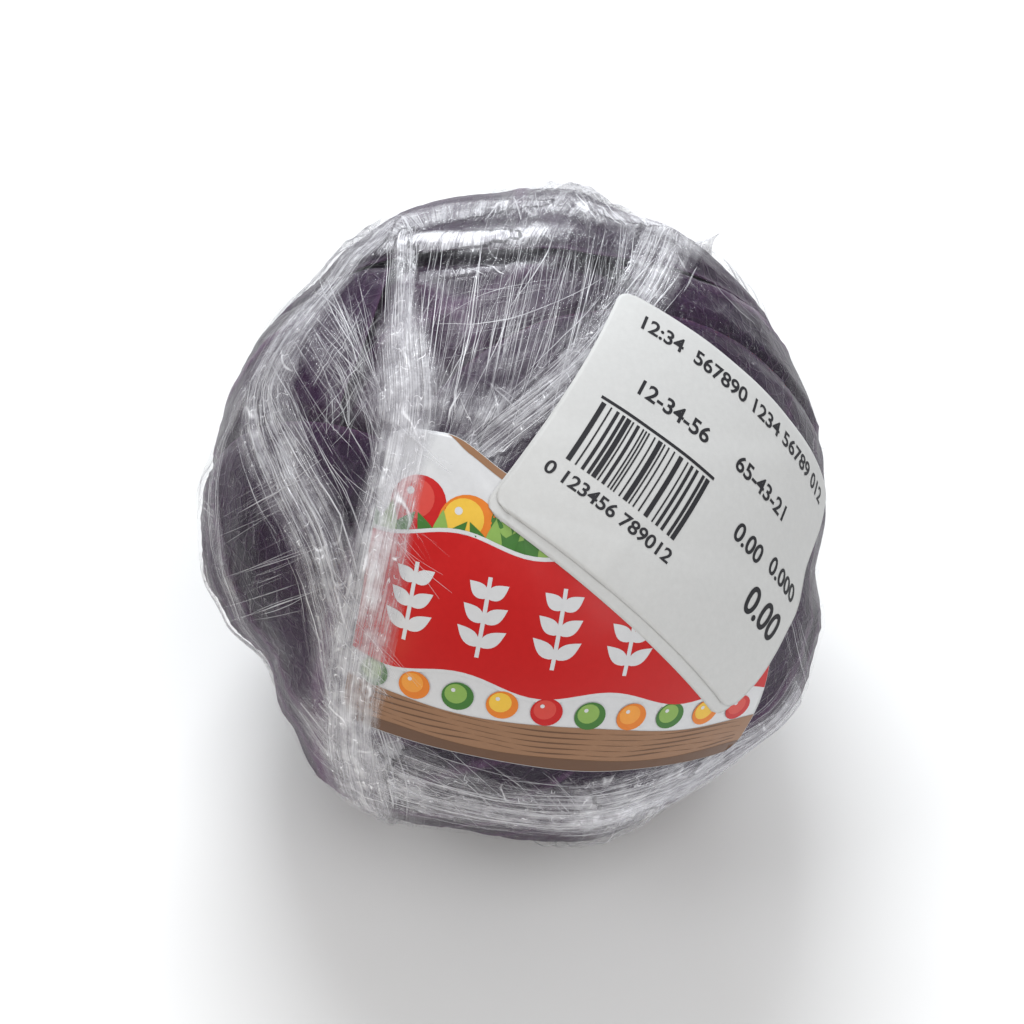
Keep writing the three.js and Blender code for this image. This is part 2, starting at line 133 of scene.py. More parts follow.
# Milky gathers of the film: a course through pixels of the photograph, then on round the back by
# bearing and height, with its half width in millimetres and how milky it is, at its start and end.
# The strands of a crosswise gather run across it. Its edge says where it starts and stops fading,
# in half widths.
FIRM_EDGE = (0.2, 1.3)
SOFT_EDGE = (0.0, 1.7)
GATHERS = (
    {"pixels": [(408, 222), (404, 262), (404, 340), (406, 425), (378, 560), (352, 700), (362, 790)],
     "back": [(243, -38), (235, -60)], "half_width": (3.4, 4.5), "milk": (0.9, 0.5)},
    {"pixels": [(585, 196), (545, 250), (500, 335), (455, 430), (430, 490)],
     "half_width": (18.0, 10.0), "milk": (0.1, 0.12)},
    {"pixels": [(668, 226), (640, 290), (592, 350), (545, 395), (500, 430), (452, 470)],
     "half_width": (7.0, 5.0), "milk": (0.8, 0.7)},
    {"pixels": [(262, 372), (228, 430), (214, 500), (226, 580), (262, 650)],
     "half_width": (2.6, 3.6), "milk": (0.4, 0.3)},
    {"pixels": [(396, 220), (330, 288), (285, 348), (262, 402), (285, 470), (318, 540), (340, 620),
                (352, 700), (380, 785)],
     "back": [(238, -45), (232, -64)], "half_width": (8.0, 7.0), "milk": (0.88, 0.3)},
    {"pixels": [(300, 705), (400, 782), (520, 812), (640, 800), (740, 748), (800, 690)],
     "half_width": (10.0, 9.0), "milk": (0.62, 0.95)},
    {"pixels": [(318, 330), (345, 375), (352, 425)],
     "half_width": (5.0, 6.5), "milk": (0.25, 0.15)},
    {"pixels": [(560, 815), (650, 795), (720, 762)],
     "half_width": (9.0, 9.0), "milk": (0.88, 0.95)},
    {"pixels": [(385, 238), (430, 216), (500, 207), (560, 205), (640, 222), (690, 243)],
     "half_width": (8.0, 6.0), "milk": (0.88, 0.88), "crosswise": True},
    # This ridge is milky film, and its milk above 1 is a painted highlight: the extra white stands in for the
    # light caught along the fold.
    {"pixels": [(386, 247), (450, 241), (510, 238), (560, 231)],
     "half_width": (3.6, 3.2), "milk": (1.2, 1.2), "crosswise": True, "ridge": 0.35},
    {"pixels": [(424, 277), (480, 273), (546, 262)],
     "half_width": (2.6, 1.8), "milk": (0.85, 0.7), "crosswise": True, "ridge": 0.3},
    {"pixels": [(452, 400), (488, 404), (510, 392)],
     "half_width": (6.0, 3.5), "milk": (0.8, 0.7), "crosswise": True},
    {"back": [(20, 14), (60, 2), (104, -6), (150, -2), (182, 8), (200, 20)],
     "half_width": (6.0, 5.0), "milk": (0.15, 0.2), "edge": SOFT_EDGE},
    {"pixels": [(205, 560)], "back": [(206, -10), (200, -34), (192, -58)],
     "half_width": (4.0, 7.0), "milk": (0.5, 0.6)},
    {"pixels": [(640, 800)], "back": [(286, -44), (284, -64)],
     "half_width": (11.0, 9.0), "milk": (0.6, 0.6)},
)
GATHER_STEP = 2.0
GATHER_RELIEF = 0.5

# Gathers on the back: how many, the range of their bearings, how far above the rim they start, the
# heights where they end and how far they drift sideways, in degrees
BACK_PASSES = 11
BACK_BEARINGS = (28, 162)
BACK_STARTS = (4, 22)
BACK_ENDS = (-68, -52)
BACK_DRIFT = 70
BACK_HAZE = 0.38

# Single strands: the middle pixels where a fan starts and ends, half of its span at each end,
# how far its strands stray, and how many there are
FANS = (
    ((535, 206), (486, 452), (118, 0), (100, 0), 5, 100),
    ((535, 208), (470, 450), (110, 0), (90, 10), 20, 26),
    ((600, 212), (585, 330), (46, 0), (44, 0), 8, 36),
    ((430, 345), (600, 300), (0, 50), (0, 45), 16, 26),
    ((210, 545), (335, 478), (6, 26), (0, 40), 12, 22),
    ((212, 606), (338, 560), (6, 22), (0, 36), 12, 22),
    ((300, 300), (392, 430), (30, 40), (0, 60), 30, 60),
    ((262, 345), (345, 500), (20, 30), (30, 30), 26, 44),
    ((300, 430), (392, 330), (20, 30), (0, 50), 28, 44),
    ((330, 262), (384, 420), (30, 20), (6, 40), 14, 50),
    ((470, 755), (560, 828), (110, 20), (90, 6), 16, 60),
    ((620, 800), (790, 660), (20, 24), (14, 50), 16, 60),
    ((772, 560), (806, 700), (10, 12), (10, 14), 8, 16),
    ((700, 260), (760, 330), (30, 10), (30, 20), 12, 10),
)
EDGE_FANS = (
    ((360, 470), (438, 560), (20, 50), (20, 50), 22, 26),
    ((335, 610), (405, 690), (10, 50), (20, 40), 20, 26),
    ((398, 420), (450, 470), (8, 20), (20, 20), 16, 12),
)
STRAND_SPREAD = 1.15
STRAND_DENSITY = 0.24
STRAND_LIFTS = (0.05, 0.16)
OVER_STICKER_LIFT = 0.37
FLAP_LIFT = 0.34

# Leaf colours: dark flesh, light flesh and bloom, then what leaves share
LEAF_COLOURS = ((0.007, 0.002, 0.011), (0.022, 0.005, 0.029), (0.03, 0.018, 0.042))
HEART_COLOURS = ((0.012, 0.004, 0.015), (0.036, 0.012, 0.041), (0.056, 0.038, 0.072))
NET_COLOUR = (0.09, 0.038, 0.1)
VEIN_COLOUR = (0.14, 0.06, 0.145)

# Sticker colours
MATT_WHITE = (0.61, 0.613, 0.607)
WHITE = (0.64, 0.645, 0.66)
RED = (0.52, 0.008, 0.008)
BROWN = (0.295, 0.156, 0.083)
DARK_BROWN = (0.13, 0.063, 0.033)
GREEN = (0.05, 0.17, 0.03)
LIGHT_GREEN = (0.24, 0.4, 0.09)
ORANGE = (0.72, 0.2, 0.02)
YELLOW = (0.8, 0.5, 0.06)
LIGHT_RED = (0.62, 0.06, 0.045)
LIGHT_ORANGE = (0.8, 0.32, 0.05)
INK = (0.022, 0.022, 0.026)

# Printing: how far each kind of shape stands over its sticker, and the rows of numerals with their
# middles, heights and stretch
LIFTS = {"disc": 0.04, "bar": 0.05, "numeral": 0.06, "brown": 0.07, "grain": 0.1, "leaf": 0.11,
         "white_band": 0.16, "bead": 0.18, "red_band": 0.2, "stem": 0.23, "sprig": 0.24}
NUMERALS = (
    ("0 123456 789012", (-14.2, -14.9), 2.5, 1.15),
    ("12:34  567890 1234 56789 012", (1.0, 20.3), 3.5, 0.92),
    ("12-34-56", (-13.4, 7.2), 3.3, 1.0),
    ("65-43-21", (8.6, 7.4), 3.3, 1.0),
    ("0.00", (11.4, -2.6), 3.5, 1.05),
    ("0.000", (23.6, -1.6), 3.5, 1.0),
    ("0.00", (22.4, -9.6), 5.2, 0.95),
)

# Stage: for each light its bearing and height, its distance and size in metres, power and colour
LIGHTS = {
    "key": (100, 60, 0.75, (0.34, 0.2), 3.8, (0.95, 0.975, 1.0)),
    "side": (200, 40, 0.8, (0.25, 0.4), 1.0, (0.95, 0.97, 1.0)),
    "front": (-62, 60, 0.9, (0.5, 0.4), 2.0, (1.0, 1.0, 1.0)),
    "low_front": (-46, 24, 0.9, (0.6, 0.35), 1.7, (1.0, 1.0, 1.0)),
    "window": (92, 20, 0.9, (0.5, 0.22), 4.2, (0.93, 0.97, 1.0)),
    "warm_fill": (-140, 8, 0.6, (0.3, 0.12), 0.25, (1.0, 0.74, 0.36)),
}
SKY_STRENGTH = 0.36
FLOOR_HALF = 1500.0


# Directions and radii


def direction(bearing, height):
    bearing, height = np.radians(bearing), np.radians(height)
    return np.stack([
        np.cos(height) * np.cos(bearing),
        np.cos(height) * np.sin(bearing),
        np.sin(height) + 0 * bearing,
    ], axis=-1)


VIEW = direction(-90.0, VIEW_HEIGHT)
VIEW_UP = direction(90.0, 90.0 - VIEW_HEIGHT)


def smoothstep(value, low, high):
    share = np.clip((value - low) / (high - low), 0, 1)
    return share * share * (3 - 2 * share)


def fall(value, ledge):
    return 1 - smoothstep(value, *ledge)


def unit(vectors):
    return vectors / np.linalg.norm(vectors, axis=-1, keepdims=True)


def ellipsoid_radius(d):
    return 1 / np.linalg.norm(d / HALF_AXES, axis=-1)


def outline_radius(angle):
    angle = angle % 360
    after = np.clip(np.searchsorted(OUTLINE[:, 0], angle, side="right"), 1, len(OUTLINE) - 1)
    start, end = OUTLINE[after - 1], OUTLINE[after]
    return start[..., 1] + (end[..., 1] - start[..., 1]) * smoothstep(angle, start[..., 0], end[..., 0])


def film_radius(d):
    """The outside of the film without its folds."""
    angle = np.arctan2(d @ VIEW_UP, d[..., 0])
    rim = np.cos(angle)[..., None] * np.array([1.0, 0, 0]) + np.sin(angle)[..., None] * VIEW_UP
    ratio = outline_radius(np.degrees(angle)) / ellipsoid_radius(rim)
    near_rim = np.exp(-(((d @ VIEW - RIM_AT) / RIM_SPREAD) ** 2))
    curved = ellipsoid_radius(d) * (1 + (ratio - 1) * near_rim)
    flat = (CENTRE[2] - FILM_FOOT_HEIGHT) / np.maximum(-d[..., 2], 1e-3)
    share = np.clip(0.5 + 0.5 * (flat - curved) / FOOT_BLEND, 0, 1)
    return flat + (curved - flat) * share - FOOT_BLEND * share * (1 - share)


def leaf_axes(leaf):
    return direction(leaf["bearing"], 0.0), direction(leaf["bearing"] + 90, 0.0)


def leaf_direction(leaf, along, across):
    out, side = leaf_axes(leaf)
    along, across = np.radians(along)[..., None], np.radians(across)[..., None]
    rib = np.sin(along) * out - np.cos(along) * np.array([0, 0, 1.0])
    return np.cos(across) * rib + np.sin(across) * side


def leaf_half_width(leaf, share):
    opened = smoothstep(share, 0, LEAF_WIDEST)
    return LEAF_ROOT_HALF_WIDTH + (leaf["half_width"] - LEAF_ROOT_HALF_WIDTH) * opened


def leaf_position(leaf, d):
    """How far along a leaf, in degrees from the stalk, and how far across it a direction lies."""
    out, side = leaf_axes(leaf)
    across = np.degrees(np.arcsin(np.clip(d @ side, -1, 1)))
    along = np.degrees(np.arctan2(d @ out, -d[..., 2]))
    return np.where(along < -30, along + 360, along), across


def outside_leaf(leaf, d):
    along, across = leaf_position(leaf, d)
    share = along / leaf["reach"]
    beyond = (share - LEAF_WIDEST) / (1 - LEAF_WIDEST)
    half_width = leaf["half_width"]
    round_end = half_width * (np.hypot(beyond, across / half_width) - 1)
    sideways = np.where(share < LEAF_WIDEST, np.abs(across) - leaf_half_width(leaf, share), round_end)
    return np.maximum(sideways, LEAF_ROOT - along)


def leaves_at(d, leaves, ledge):
    """How many of the leaves lie at a direction, fading out beyond their edges."""
    return sum((fall(outside_leaf(leaf, d), ledge) for leaf in leaves), np.zeros(d.shape[:-1]))


def leaf_outer_radius(d, index):
    """The outside of a leaf without its veins: it sinks where leaves lie over it."""
    return film_radius(d) - FILM_TO_LEAF - LEAF_PITCH * leaves_at(d, WRAPPER_LEAVES[index + 1:], LEAF_LEDGE)


def heart_surface_radius(d):
    """The heart under all the leaves, with a step at the edge of each of its own leaves."""
    surface = leaf_outer_radius(d, -1) - GAP
    return surface - INNER_STEP * (len(INNER_LEAVES) - leaves_at(d, INNER_LEAVES, INNER_LEDGE))


def sticker_axes(sticker):
    middle = direction(sticker["bearing"], sticker["height"])
    east = direction(sticker["bearing"] + 90, 0.0)
    north = np.cross(middle, east)
    roll = math.radians(sticker["roll"])
    right = math.cos(roll) * east + math.sin(roll) * north
    return middle, right, np.cross(middle, right)


def sticker_direction(sticker, places):
    """Directions of points on a sticker, given in millimetres from its middle."""
    middle, right, up = sticker_axes(sticker)
    turn = np.linalg.norm(places, axis=-1, keepdims=True) / ROUND
    away = places[..., :1] * right + places[..., 1:] * up
    return np.cos(turn) * middle + away / ROUND * np.sinc(turn / math.pi)


def sticker_place(sticker, d):
    middle, right, up = sticker_axes(sticker)
    turn = np.arccos(np.clip(d @ middle, -1, 1))
    scale = ROUND / np.sinc(turn / math.pi)
    return scale * (d @ right), scale * (d @ up)


def outside_sticker(sticker, d):
    u, v = sticker_place(sticker, d)
    beside = np.abs(u) - sticker["width"] / 2
    above = np.abs(v) - sticker["depth"] / 2
    corner = np.hypot(np.maximum(beside, 0), np.maximum(above, 0))
    return np.where(d @ sticker_axes(sticker)[0] < 0, 100.0, np.maximum(np.maximum(beside, above), corner))


def under_stickers(d):
    """1 where a sticker keeps the film smooth, 0 away from the stickers."""
    nearest = np.minimum(outside_sticker(PRINTED, d), outside_sticker(PRICE, d))
    return fall(np.minimum(nearest, outside_sticker(PRICE_UNDER, d)), (0.0, 5.0))


def sticker_radius(d, below):
    """The outside of a sticker that lies over the ones in below."""
    under = sum((fall(outside_sticker(other, d), STICKER_LEDGE) for other in below), np.zeros(d.shape[:-1]))
    return film_radius(d) + STICKER_LIFT + STICKER_THICKNESS + STICKER_PITCH * under


def at_pixels(pixels):
    """Directions of the points of the film that pixels of the photograph show."""
    pixels = np.asarray(pixels, dtype=float)
    aim = (pixels[:, :1] - PHOTO_CENTRE[0]) * PHOTO_MM_PER_PIXEL * np.array([1.0, 0, 0])
    aim = aim + (PHOTO_CENTRE[1] - pixels[:, 1:]) * PHOTO_MM_PER_PIXEL * VIEW_UP
    eye = CAMERA_DISTANCE * VIEW
    ray = unit(aim - eye)
    toward = ray @ eye
    radius = np.full(len(pixels), ROUND)
    for _ in range(10):
        inside = np.maximum(toward ** 2 - CAMERA_DISTANCE ** 2 + radius ** 2, 0)
        d = unit(eye + ray * (-toward - np.sqrt(inside))[:, None])
        radius = film_radius(d)
    return d


def noise(places, seed):
    """Smooth noise from -1 to 1 with one cell to a unit."""
    table = np.random.default_rng(seed).uniform(-1, 1, (NOISE_CELLS, NOISE_CELLS, NOISE_CELLS))
    cell = np.floor(places).astype(int)
    share = places - cell
    share = share * share * (3 - 2 * share)
    total = np.zeros(places.shape[:-1])
    for corner in np.ndindex(2, 2, 2):
        weight = np.prod(np.where(np.array(corner) == 1, share, 1 - share), axis=-1)
        i, j, k = np.moveaxis((cell + corner) % NOISE_CELLS, -1, 0)
        total += weight * table[i, j, k]
    return total


# Gathers of the film


def smooth_course(points, step):
    """Evenly spaced directions along a smooth course through the given ones, step in millimetres."""
    points = np.vstack([2 * points[0] - points[1], points, 2 * points[-1] - points[-2]])
    course = []
    for p0, p1, p2, p3 in zip(points, points[1:], points[2:], points[3:]):
        t = np.linspace(0, 1, 24, endpoint=False)[:, None]
        course.append(0.5 * (2 * p1 + (p2 - p0) * t + (2 * p0 - 5 * p1 + 4 * p2 - p3) * t ** 2
                             + (3 * p1 - p0 - 3 * p2 + p3) * t ** 3))
    course = unit(np.vstack(course + [points[-2:-1]]))
    length = np.concatenate([[0], np.cumsum(np.linalg.norm(np.diff(course, axis=0), axis=1))]) * ROUND
    even = np.linspace(0, length[-1], max(2, round(length[-1] / step)) + 1)
    return unit(np.stack([np.interp(even, length, course[:, k]) for k in range(3)], axis=1)), even


class Gather:
    """One gather: its course over the head, with the directions along and across it."""

    def __init__(self, number, half_width, milk, pixels=(), back=(), crosswise=False, ridge=0.0,
                 edge=FIRM_EDGE):
        front = at_pixels(pixels) if pixels else np.empty((0, 3))
        rest = np.array([direction(*map(float, place)) for place in back]).reshape(-1, 3)
        self.number = number
        self.crosswise = crosswise
        self.ridge = ridge
        self.edge = edge
        self.course, self.distance = smooth_course(np.vstack([front, rest]), GATHER_STEP)
        ahead = np.gradient(self.course, axis=0)
        self.across = unit(np.cross(self.course, ahead))
        self.ahead = np.cross(self.across, self.course)
        self.length = self.distance[-1]
        self.half_width = np.interp(self.distance, [0, self.length], half_width)
        self.milk = np.interp(self.distance, [0, self.length], milk)

    def measure(self, d):
        """Along and across the gather in millimetres, how strong it is there, and how milky."""
        nearest = np.argmax(d @ self.course.T, axis=1)
        along = self.distance[nearest] + ROUND * np.sum(d * self.ahead[nearest], axis=1)
        across = ROUND * np.sum(d * self.across[nearest], axis=1)
        close = np.sum(d * self.course[nearest], axis=1) > 0.5
        wander = noise(np.stack([along / 22, along * 0 + self.number, across * 0], axis=1), 3)
        width = self.half_width[nearest] * (1 + 0.25 * wander)
        ends = smoothstep(along, -6, 7) * (1 - smoothstep(along, self.length - 9, self.length + 6))
        strength = fall(np.abs(across) / width, self.edge) * ends * close
        return along, across, strength, strength * self.milk[nearest]

    def place(self, along, across):
        """Directions of points given along and across the gather."""
        base = np.stack([np.interp(along, self.distance, self.course[:, k]) for k in range(3)], axis=-1)
        side = np.stack([np.interp(along, self.distance, self.across[:, k]) for k in range(3)], axis=-1)
        turn = (across / ROUND)[..., None]
        return unit(np.cos(turn) * unit(base) + np.sin(turn) * unit(side))


def back_gathers():
    """Gathers down the back of the head: passes of film from its top rim to its foot."""
    draw = np.random.default_rng(77)
    made = []
    for start in draw.uniform(*BACK_BEARINGS, BACK_PASSES):
        rise = math.tan(math.radians(90 - VIEW_HEIGHT)) * math.sin(math.radians(start))
        rim = math.degrees(math.atan(rise))
        heights = np.linspace(rim + draw.uniform(*BACK_STARTS), draw.uniform(*BACK_ENDS), 6)
        drift = draw.uniform(-BACK_DRIFT, BACK_DRIFT) * np.linspace(0, 1, 6) ** 1.2
        drift = drift + draw.uniform(-4, 4, 6)
        made.append({"back": list(zip(start + drift, heights)), "edge": SOFT_EDGE,
                     "milk": (draw.uniform(0.25, 0.6), draw.uniform(0.05, 0.5)),
                     "half_width": (draw.uniform(3, 9), draw.uniform(3, 8))})
    return made


def film_surface(d, gathers):
    """The film's outer radius with its folds, how milky it is, and its grain in millimetres."""
    flat = d.reshape(-1, 3)
    milk = np.zeros(len(flat))
    folds = np.zeros(len(flat))
    grain = np.stack([flat @ VIEW_UP * ROUND, flat[:, 0] * ROUND, np.zeros(len(flat))], axis=1)
    strongest = np.full(len(flat), 0.12)
    for gather in gathers:
        along, across, strength, milkiness = gather.measure(flat)
        number = np.full(len(flat), 7.3 * gather.number)
        pleats = noise(np.stack([along / 26, across / 1.9, number], axis=1), 11)
        fine = noise(np.stack([along / 14, across / 0.8, number], axis=1), 12)
        pleating = 0.65 - 1.5 * np.abs(pleats) + 0.35 * fine
        folds += strength * GATHER_RELIEF * pleating * (not gather.crosswise)
        folds += strength * gather.ridge
        milk = 1 - (1 - milk) * (1 - np.minimum(milkiness * (0.8 + 0.35 * pleats), 1))
        leads = strength > strongest
        strongest = np.where(leads, strength, strongest)
        ordered = (across, along) if gather.crosswise else (along, across)
        grain[leads] = np.stack([*ordered, number], axis=1)[leads]
    behind = 1 - smoothstep(flat @ VIEW, -0.45, -0.05)
    patches = smoothstep(noise(flat * 2.6, 71) + 0.4 * noise(flat * 7, 72), 0.05, 0.75)
    milk = 1 - (1 - milk) * (1 - BACK_HAZE * patches * behind)
    clear = 1 - smoothstep(milk, 0.1, 0.5)
    wrinkles = 0.08 + noise(flat * 9, 21) * 0.22 + noise(flat * 22, 22) * 0.1
    sag = np.zeros(len(flat))
    for leaf in WRAPPER_LEAVES[2:]:
        beyond = outside_leaf(leaf, flat)
        sag += 0.5 * smoothstep(beyond, 0.0, 2.5) * (1 - smoothstep(beyond, 3.5, 9.0))
    free = 1 - under_stickers(flat)
    above_foot = smoothstep(flat[:, 2], -0.93, -0.8)
    relief = (folds + 0.3 * milk + (wrinkles - np.minimum(sag, 0.8)) * (0.4 + 0.6 * clear)) * free
    radius = film_radius(flat) + relief * above_foot
    shape = d.shape[:-1]
    return radius.reshape(shape), np.clip(milk, 0, 1).reshape(shape), grain.reshape(*shape, 3)


# Meshes


def mesh_object(name, places, faces, material, attributes=None, materials_by_face=None):
    """A smooth mesh from places in millimetres from the head's centre."""
    mesh = bpy.data.meshes.new(name)
    mesh.from_pydata(((places + CENTRE) * MM).tolist(), [], [list(map(int, face)) for face in faces])
    mesh.shade_smooth()
    for attribute, values in (attributes or {}).items():
        kind = "FLOAT_VECTOR" if values.ndim == 2 else "FLOAT"
        made = mesh.attributes.new(attribute, kind, "POINT")
        made.data.foreach_set("vector" if values.ndim == 2 else "value", values.astype(np.float32).ravel())
    for each in material if isinstance(material, (list, tuple)) else [material]:
        mesh.materials.append(each)
    if materials_by_face is not None:
        mesh.polygons.foreach_set("material_index", np.asarray(materials_by_face, dtype=np.int32))
    mesh.update()
    made = bpy.data.objects.new(name, mesh)
    bpy.context.scene.collection.objects.link(made)
    return made


def dress(made, node_name=None):
    """Hides the node of the part that a piece stands in for, if any, and sets the piece on the root body."""
    if node_name:
        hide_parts(node_name)
    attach(made, "root")


def ball(side):
    """Directions and faces of a ball made of six squares of side by side cells."""
    steps = np.arange(side + 1)
    a, b = (grid.ravel() for grid in np.meshgrid(steps, steps, indexing="ij"))
    corners = []
    faces = []
    cell = np.arange(side * (side + 1)).reshape(side, side + 1)[:, :side].ravel()
    square = np.stack([cell, cell + side + 1, cell + side + 2, cell + 1], axis=1)
    for axis in range(3):
        for level in (0, side):
            lattice = np.empty((len(a), 3), dtype=int)
            lattice[:, axis] = level
            lattice[:, (axis + 1) % 3] = a
            lattice[:, (axis + 2) % 3] = b
            faces.append((square if level else square[:, ::-1]) + len(a) * len(corners))
            corners.append(lattice)
    lattice, index = np.unique(np.vstack(corners), axis=0, return_inverse=True)
    d = unit(np.tan((lattice / side * 2 - 1) * math.pi / 4))
    return d, index.reshape(-1)[np.vstack(faces)]


def keep_faces(places, faces, keep, *values):
    """The faces whose corners are all to keep, with the places they use."""
    faces = faces[keep[faces].all(axis=1)]
    used, index = np.unique(faces, return_inverse=True)
    return (places[used], index.reshape(faces.shape), *(value[used] for value in values))


def grid_faces(rows, columns):
    cell = (np.arange(rows - 1)[:, None] * columns + np.arange(columns - 1)).ravel()
    return np.stack([cell, cell + columns, cell + columns + 1, cell + 1], axis=1)


def sheet_faces(rows, columns):
    """Faces of a closed sheet: an outer grid, an inner grid after it, and the rim between them."""
    outer = grid_faces(rows, columns)
    inner = outer[:, ::-1] + rows * columns
    index = np.arange(rows * columns).reshape(rows, columns)
    rim = np.concatenate([index[0, :-1], index[:-1, -1], index[-1, :0:-1], index[:0:-1, 0]])
    after = np.roll(rim, -1)
    sides = np.stack([rim, after, after + rows * columns, rim + rows * columns], axis=1)
    return np.vstack([outer, inner, sides])


def tube_faces(rings, count):
    """Faces between rings of count places each."""
    start = np.arange(rings - 1)[:, None] * count
    around = np.arange(count)
    after = (around + 1) % count
    corners = (start + around, start + after, start + count + after, start + count + around)
    return np.stack([corner.ravel() for corner in corners], axis=1)


# Materials


class Look:
    """A material: its shader and the nodes that feed it."""

    def __init__(self, name, constants):
        self.material = bpy.data.materials.new(name)
        self.material.use_nodes = True
        self.tree = self.material.node_tree
        self.shader = self.tree.nodes["Principled BSDF"]
        self.place = self.node("ShaderNodeTexCoord").outputs["Object"]
        for key, value in constants.items():
            self.set(key, value)

    def feed(self, socket, value):
        """Links a node's output to a socket, or sets the socket to a plain value or colour."""
        if isinstance(value, bpy.types.NodeSocket):
            self.tree.links.new(value, socket)
        else:
            socket.default_value = (*value, 1) if socket.type == "RGBA" else value

    def set(self, key, value):
        self.feed(self.shader.inputs[key], value)

    def node(self, kind, inputs=None, **settings):
        made = self.tree.nodes.new(kind)
        for key, value in settings.items():
            setattr(made, key, value)
        for key, value in (inputs or {}).items():
            self.feed(made.inputs[key], value)
        return made

    def noise(self, vector, scale, detail=3.0, roughness=0.55):
        inputs = {"Vector": vector, "Scale": scale, "Detail": detail, "Roughness": roughness}
        return self.node("ShaderNodeTexNoise", inputs).outputs["Fac"]

    def remap(self, value, low, high, to_low=0.0, to_high=1.0):
        inputs = {"Value": value, "From Min": low, "From Max": high, "To Min": to_low, "To Max": to_high}
        return self.node("ShaderNodeMapRange", inputs, interpolation_type="SMOOTHSTEP").outputs["Result"]

    def maths(self, operation, first, second, clamp=False):
        made = self.node("ShaderNodeMath", {0: first, 1: second}, operation=operation, use_clamp=clamp)
        return made.outputs[0]

    def blend(self, first, second, share):
        """The share of the first value and the rest of the second."""
        rest = self.maths("MULTIPLY", second, 1 - share)
        return self.maths("ADD", self.maths("MULTIPLY", first, share), rest)

    def mix(self, factor, first, second):
        inputs = {"Factor": factor, 6: first, 7: second}
        return self.node("ShaderNodeMix", inputs, data_type="RGBA").outputs[2]

    def stretched(self, vector, factors):
        return self.node("ShaderNodeMapping", {"Vector": vector, "Scale": factors}).outputs["Vector"]

    def bump(self, height, distance, strength=1.0):
        inputs = {"Height": height, "Distance": distance, "Strength": strength}
        self.set("Normal", self.node("ShaderNodeBump", inputs).outputs["Normal"])

    def attribute(self, name, output="Fac"):
        return self.node("ShaderNodeAttribute", attribute_name=name).outputs[output]


def leaf_material(name, dark, light, bloom):
    """Waxy purple leaf: paler veins and net, and a patchy bloom."""
    look = Look(name, {"Coat Weight": 0.12, "Coat Roughness": 0.18, "Specular IOR Level": 0.12,
                       "Subsurface Weight": 0.06, "Subsurface Scale": 0.002})
    patches = look.remap(look.noise(look.place, 38.0, 4.0), 0.35, 0.68)
    wax = look.remap(look.noise(look.place, 90.0, 6.0, 0.65), 0.45, 0.75, 0.0, 0.45)
    colour = look.mix(wax, look.mix(patches, dark, light), bloom)
    cells = {"Vector": look.place, "Scale": 330.0}
    net = look.node("ShaderNodeTexVoronoi", cells, feature="DISTANCE_TO_EDGE").outputs["Distance"]
    lines = look.remap(net, 0.0, 0.09, 1.0, 0.0)
    colour = look.mix(look.maths("MULTIPLY", lines, 0.16), colour, NET_COLOUR)
    veins = look.maths("MULTIPLY", look.attribute("vein"), 0.6, True)
    look.set("Base Color", look.mix(veins, colour, VEIN_COLOUR))
    look.set("Roughness", look.remap(patches, 0, 1, 0.36, 0.5))
    raised = look.maths("MULTIPLY", lines, 0.35)
    look.bump(look.maths("ADD", look.noise(look.place, 420.0, 3.0), raised), 0.00035, 0.6)
    return look.material


def stalk_material():
    """The cut face of the stalk: pale flesh, browned towards its rim and pith."""
    look = Look("stalk_cut", {"Subsurface Weight": 0.1, "Subsurface Scale": 0.003})
    flat = look.node("ShaderNodeVectorMath", {0: look.place, 1: (1.0, 1.0, 0.0)}, operation="MULTIPLY")
    away = look.node("ShaderNodeVectorMath", {0: flat.outputs["Vector"]}, operation="LENGTH")
    rim = look.remap(away.outputs["Value"], 0.0095, 0.0148)
    pith = look.remap(away.outputs["Value"], 0.001, 0.0075, 1.0, 0.0)
    colour = look.mix(look.noise(look.place, 500.0, 5.0), (0.46, 0.38, 0.25), (0.62, 0.55, 0.4))
    colour = look.mix(look.maths("MULTIPLY", pith, 0.5), colour, (0.42, 0.33, 0.2))
    look.set("Base Color", look.mix(rim, colour, (0.3, 0.17, 0.2)))
    look.set("Roughness", look.remap(rim, 0, 1, 0.6, 0.45))
    look.bump(look.noise(look.place, 900.0, 4.0), 0.0004)
    return look.material


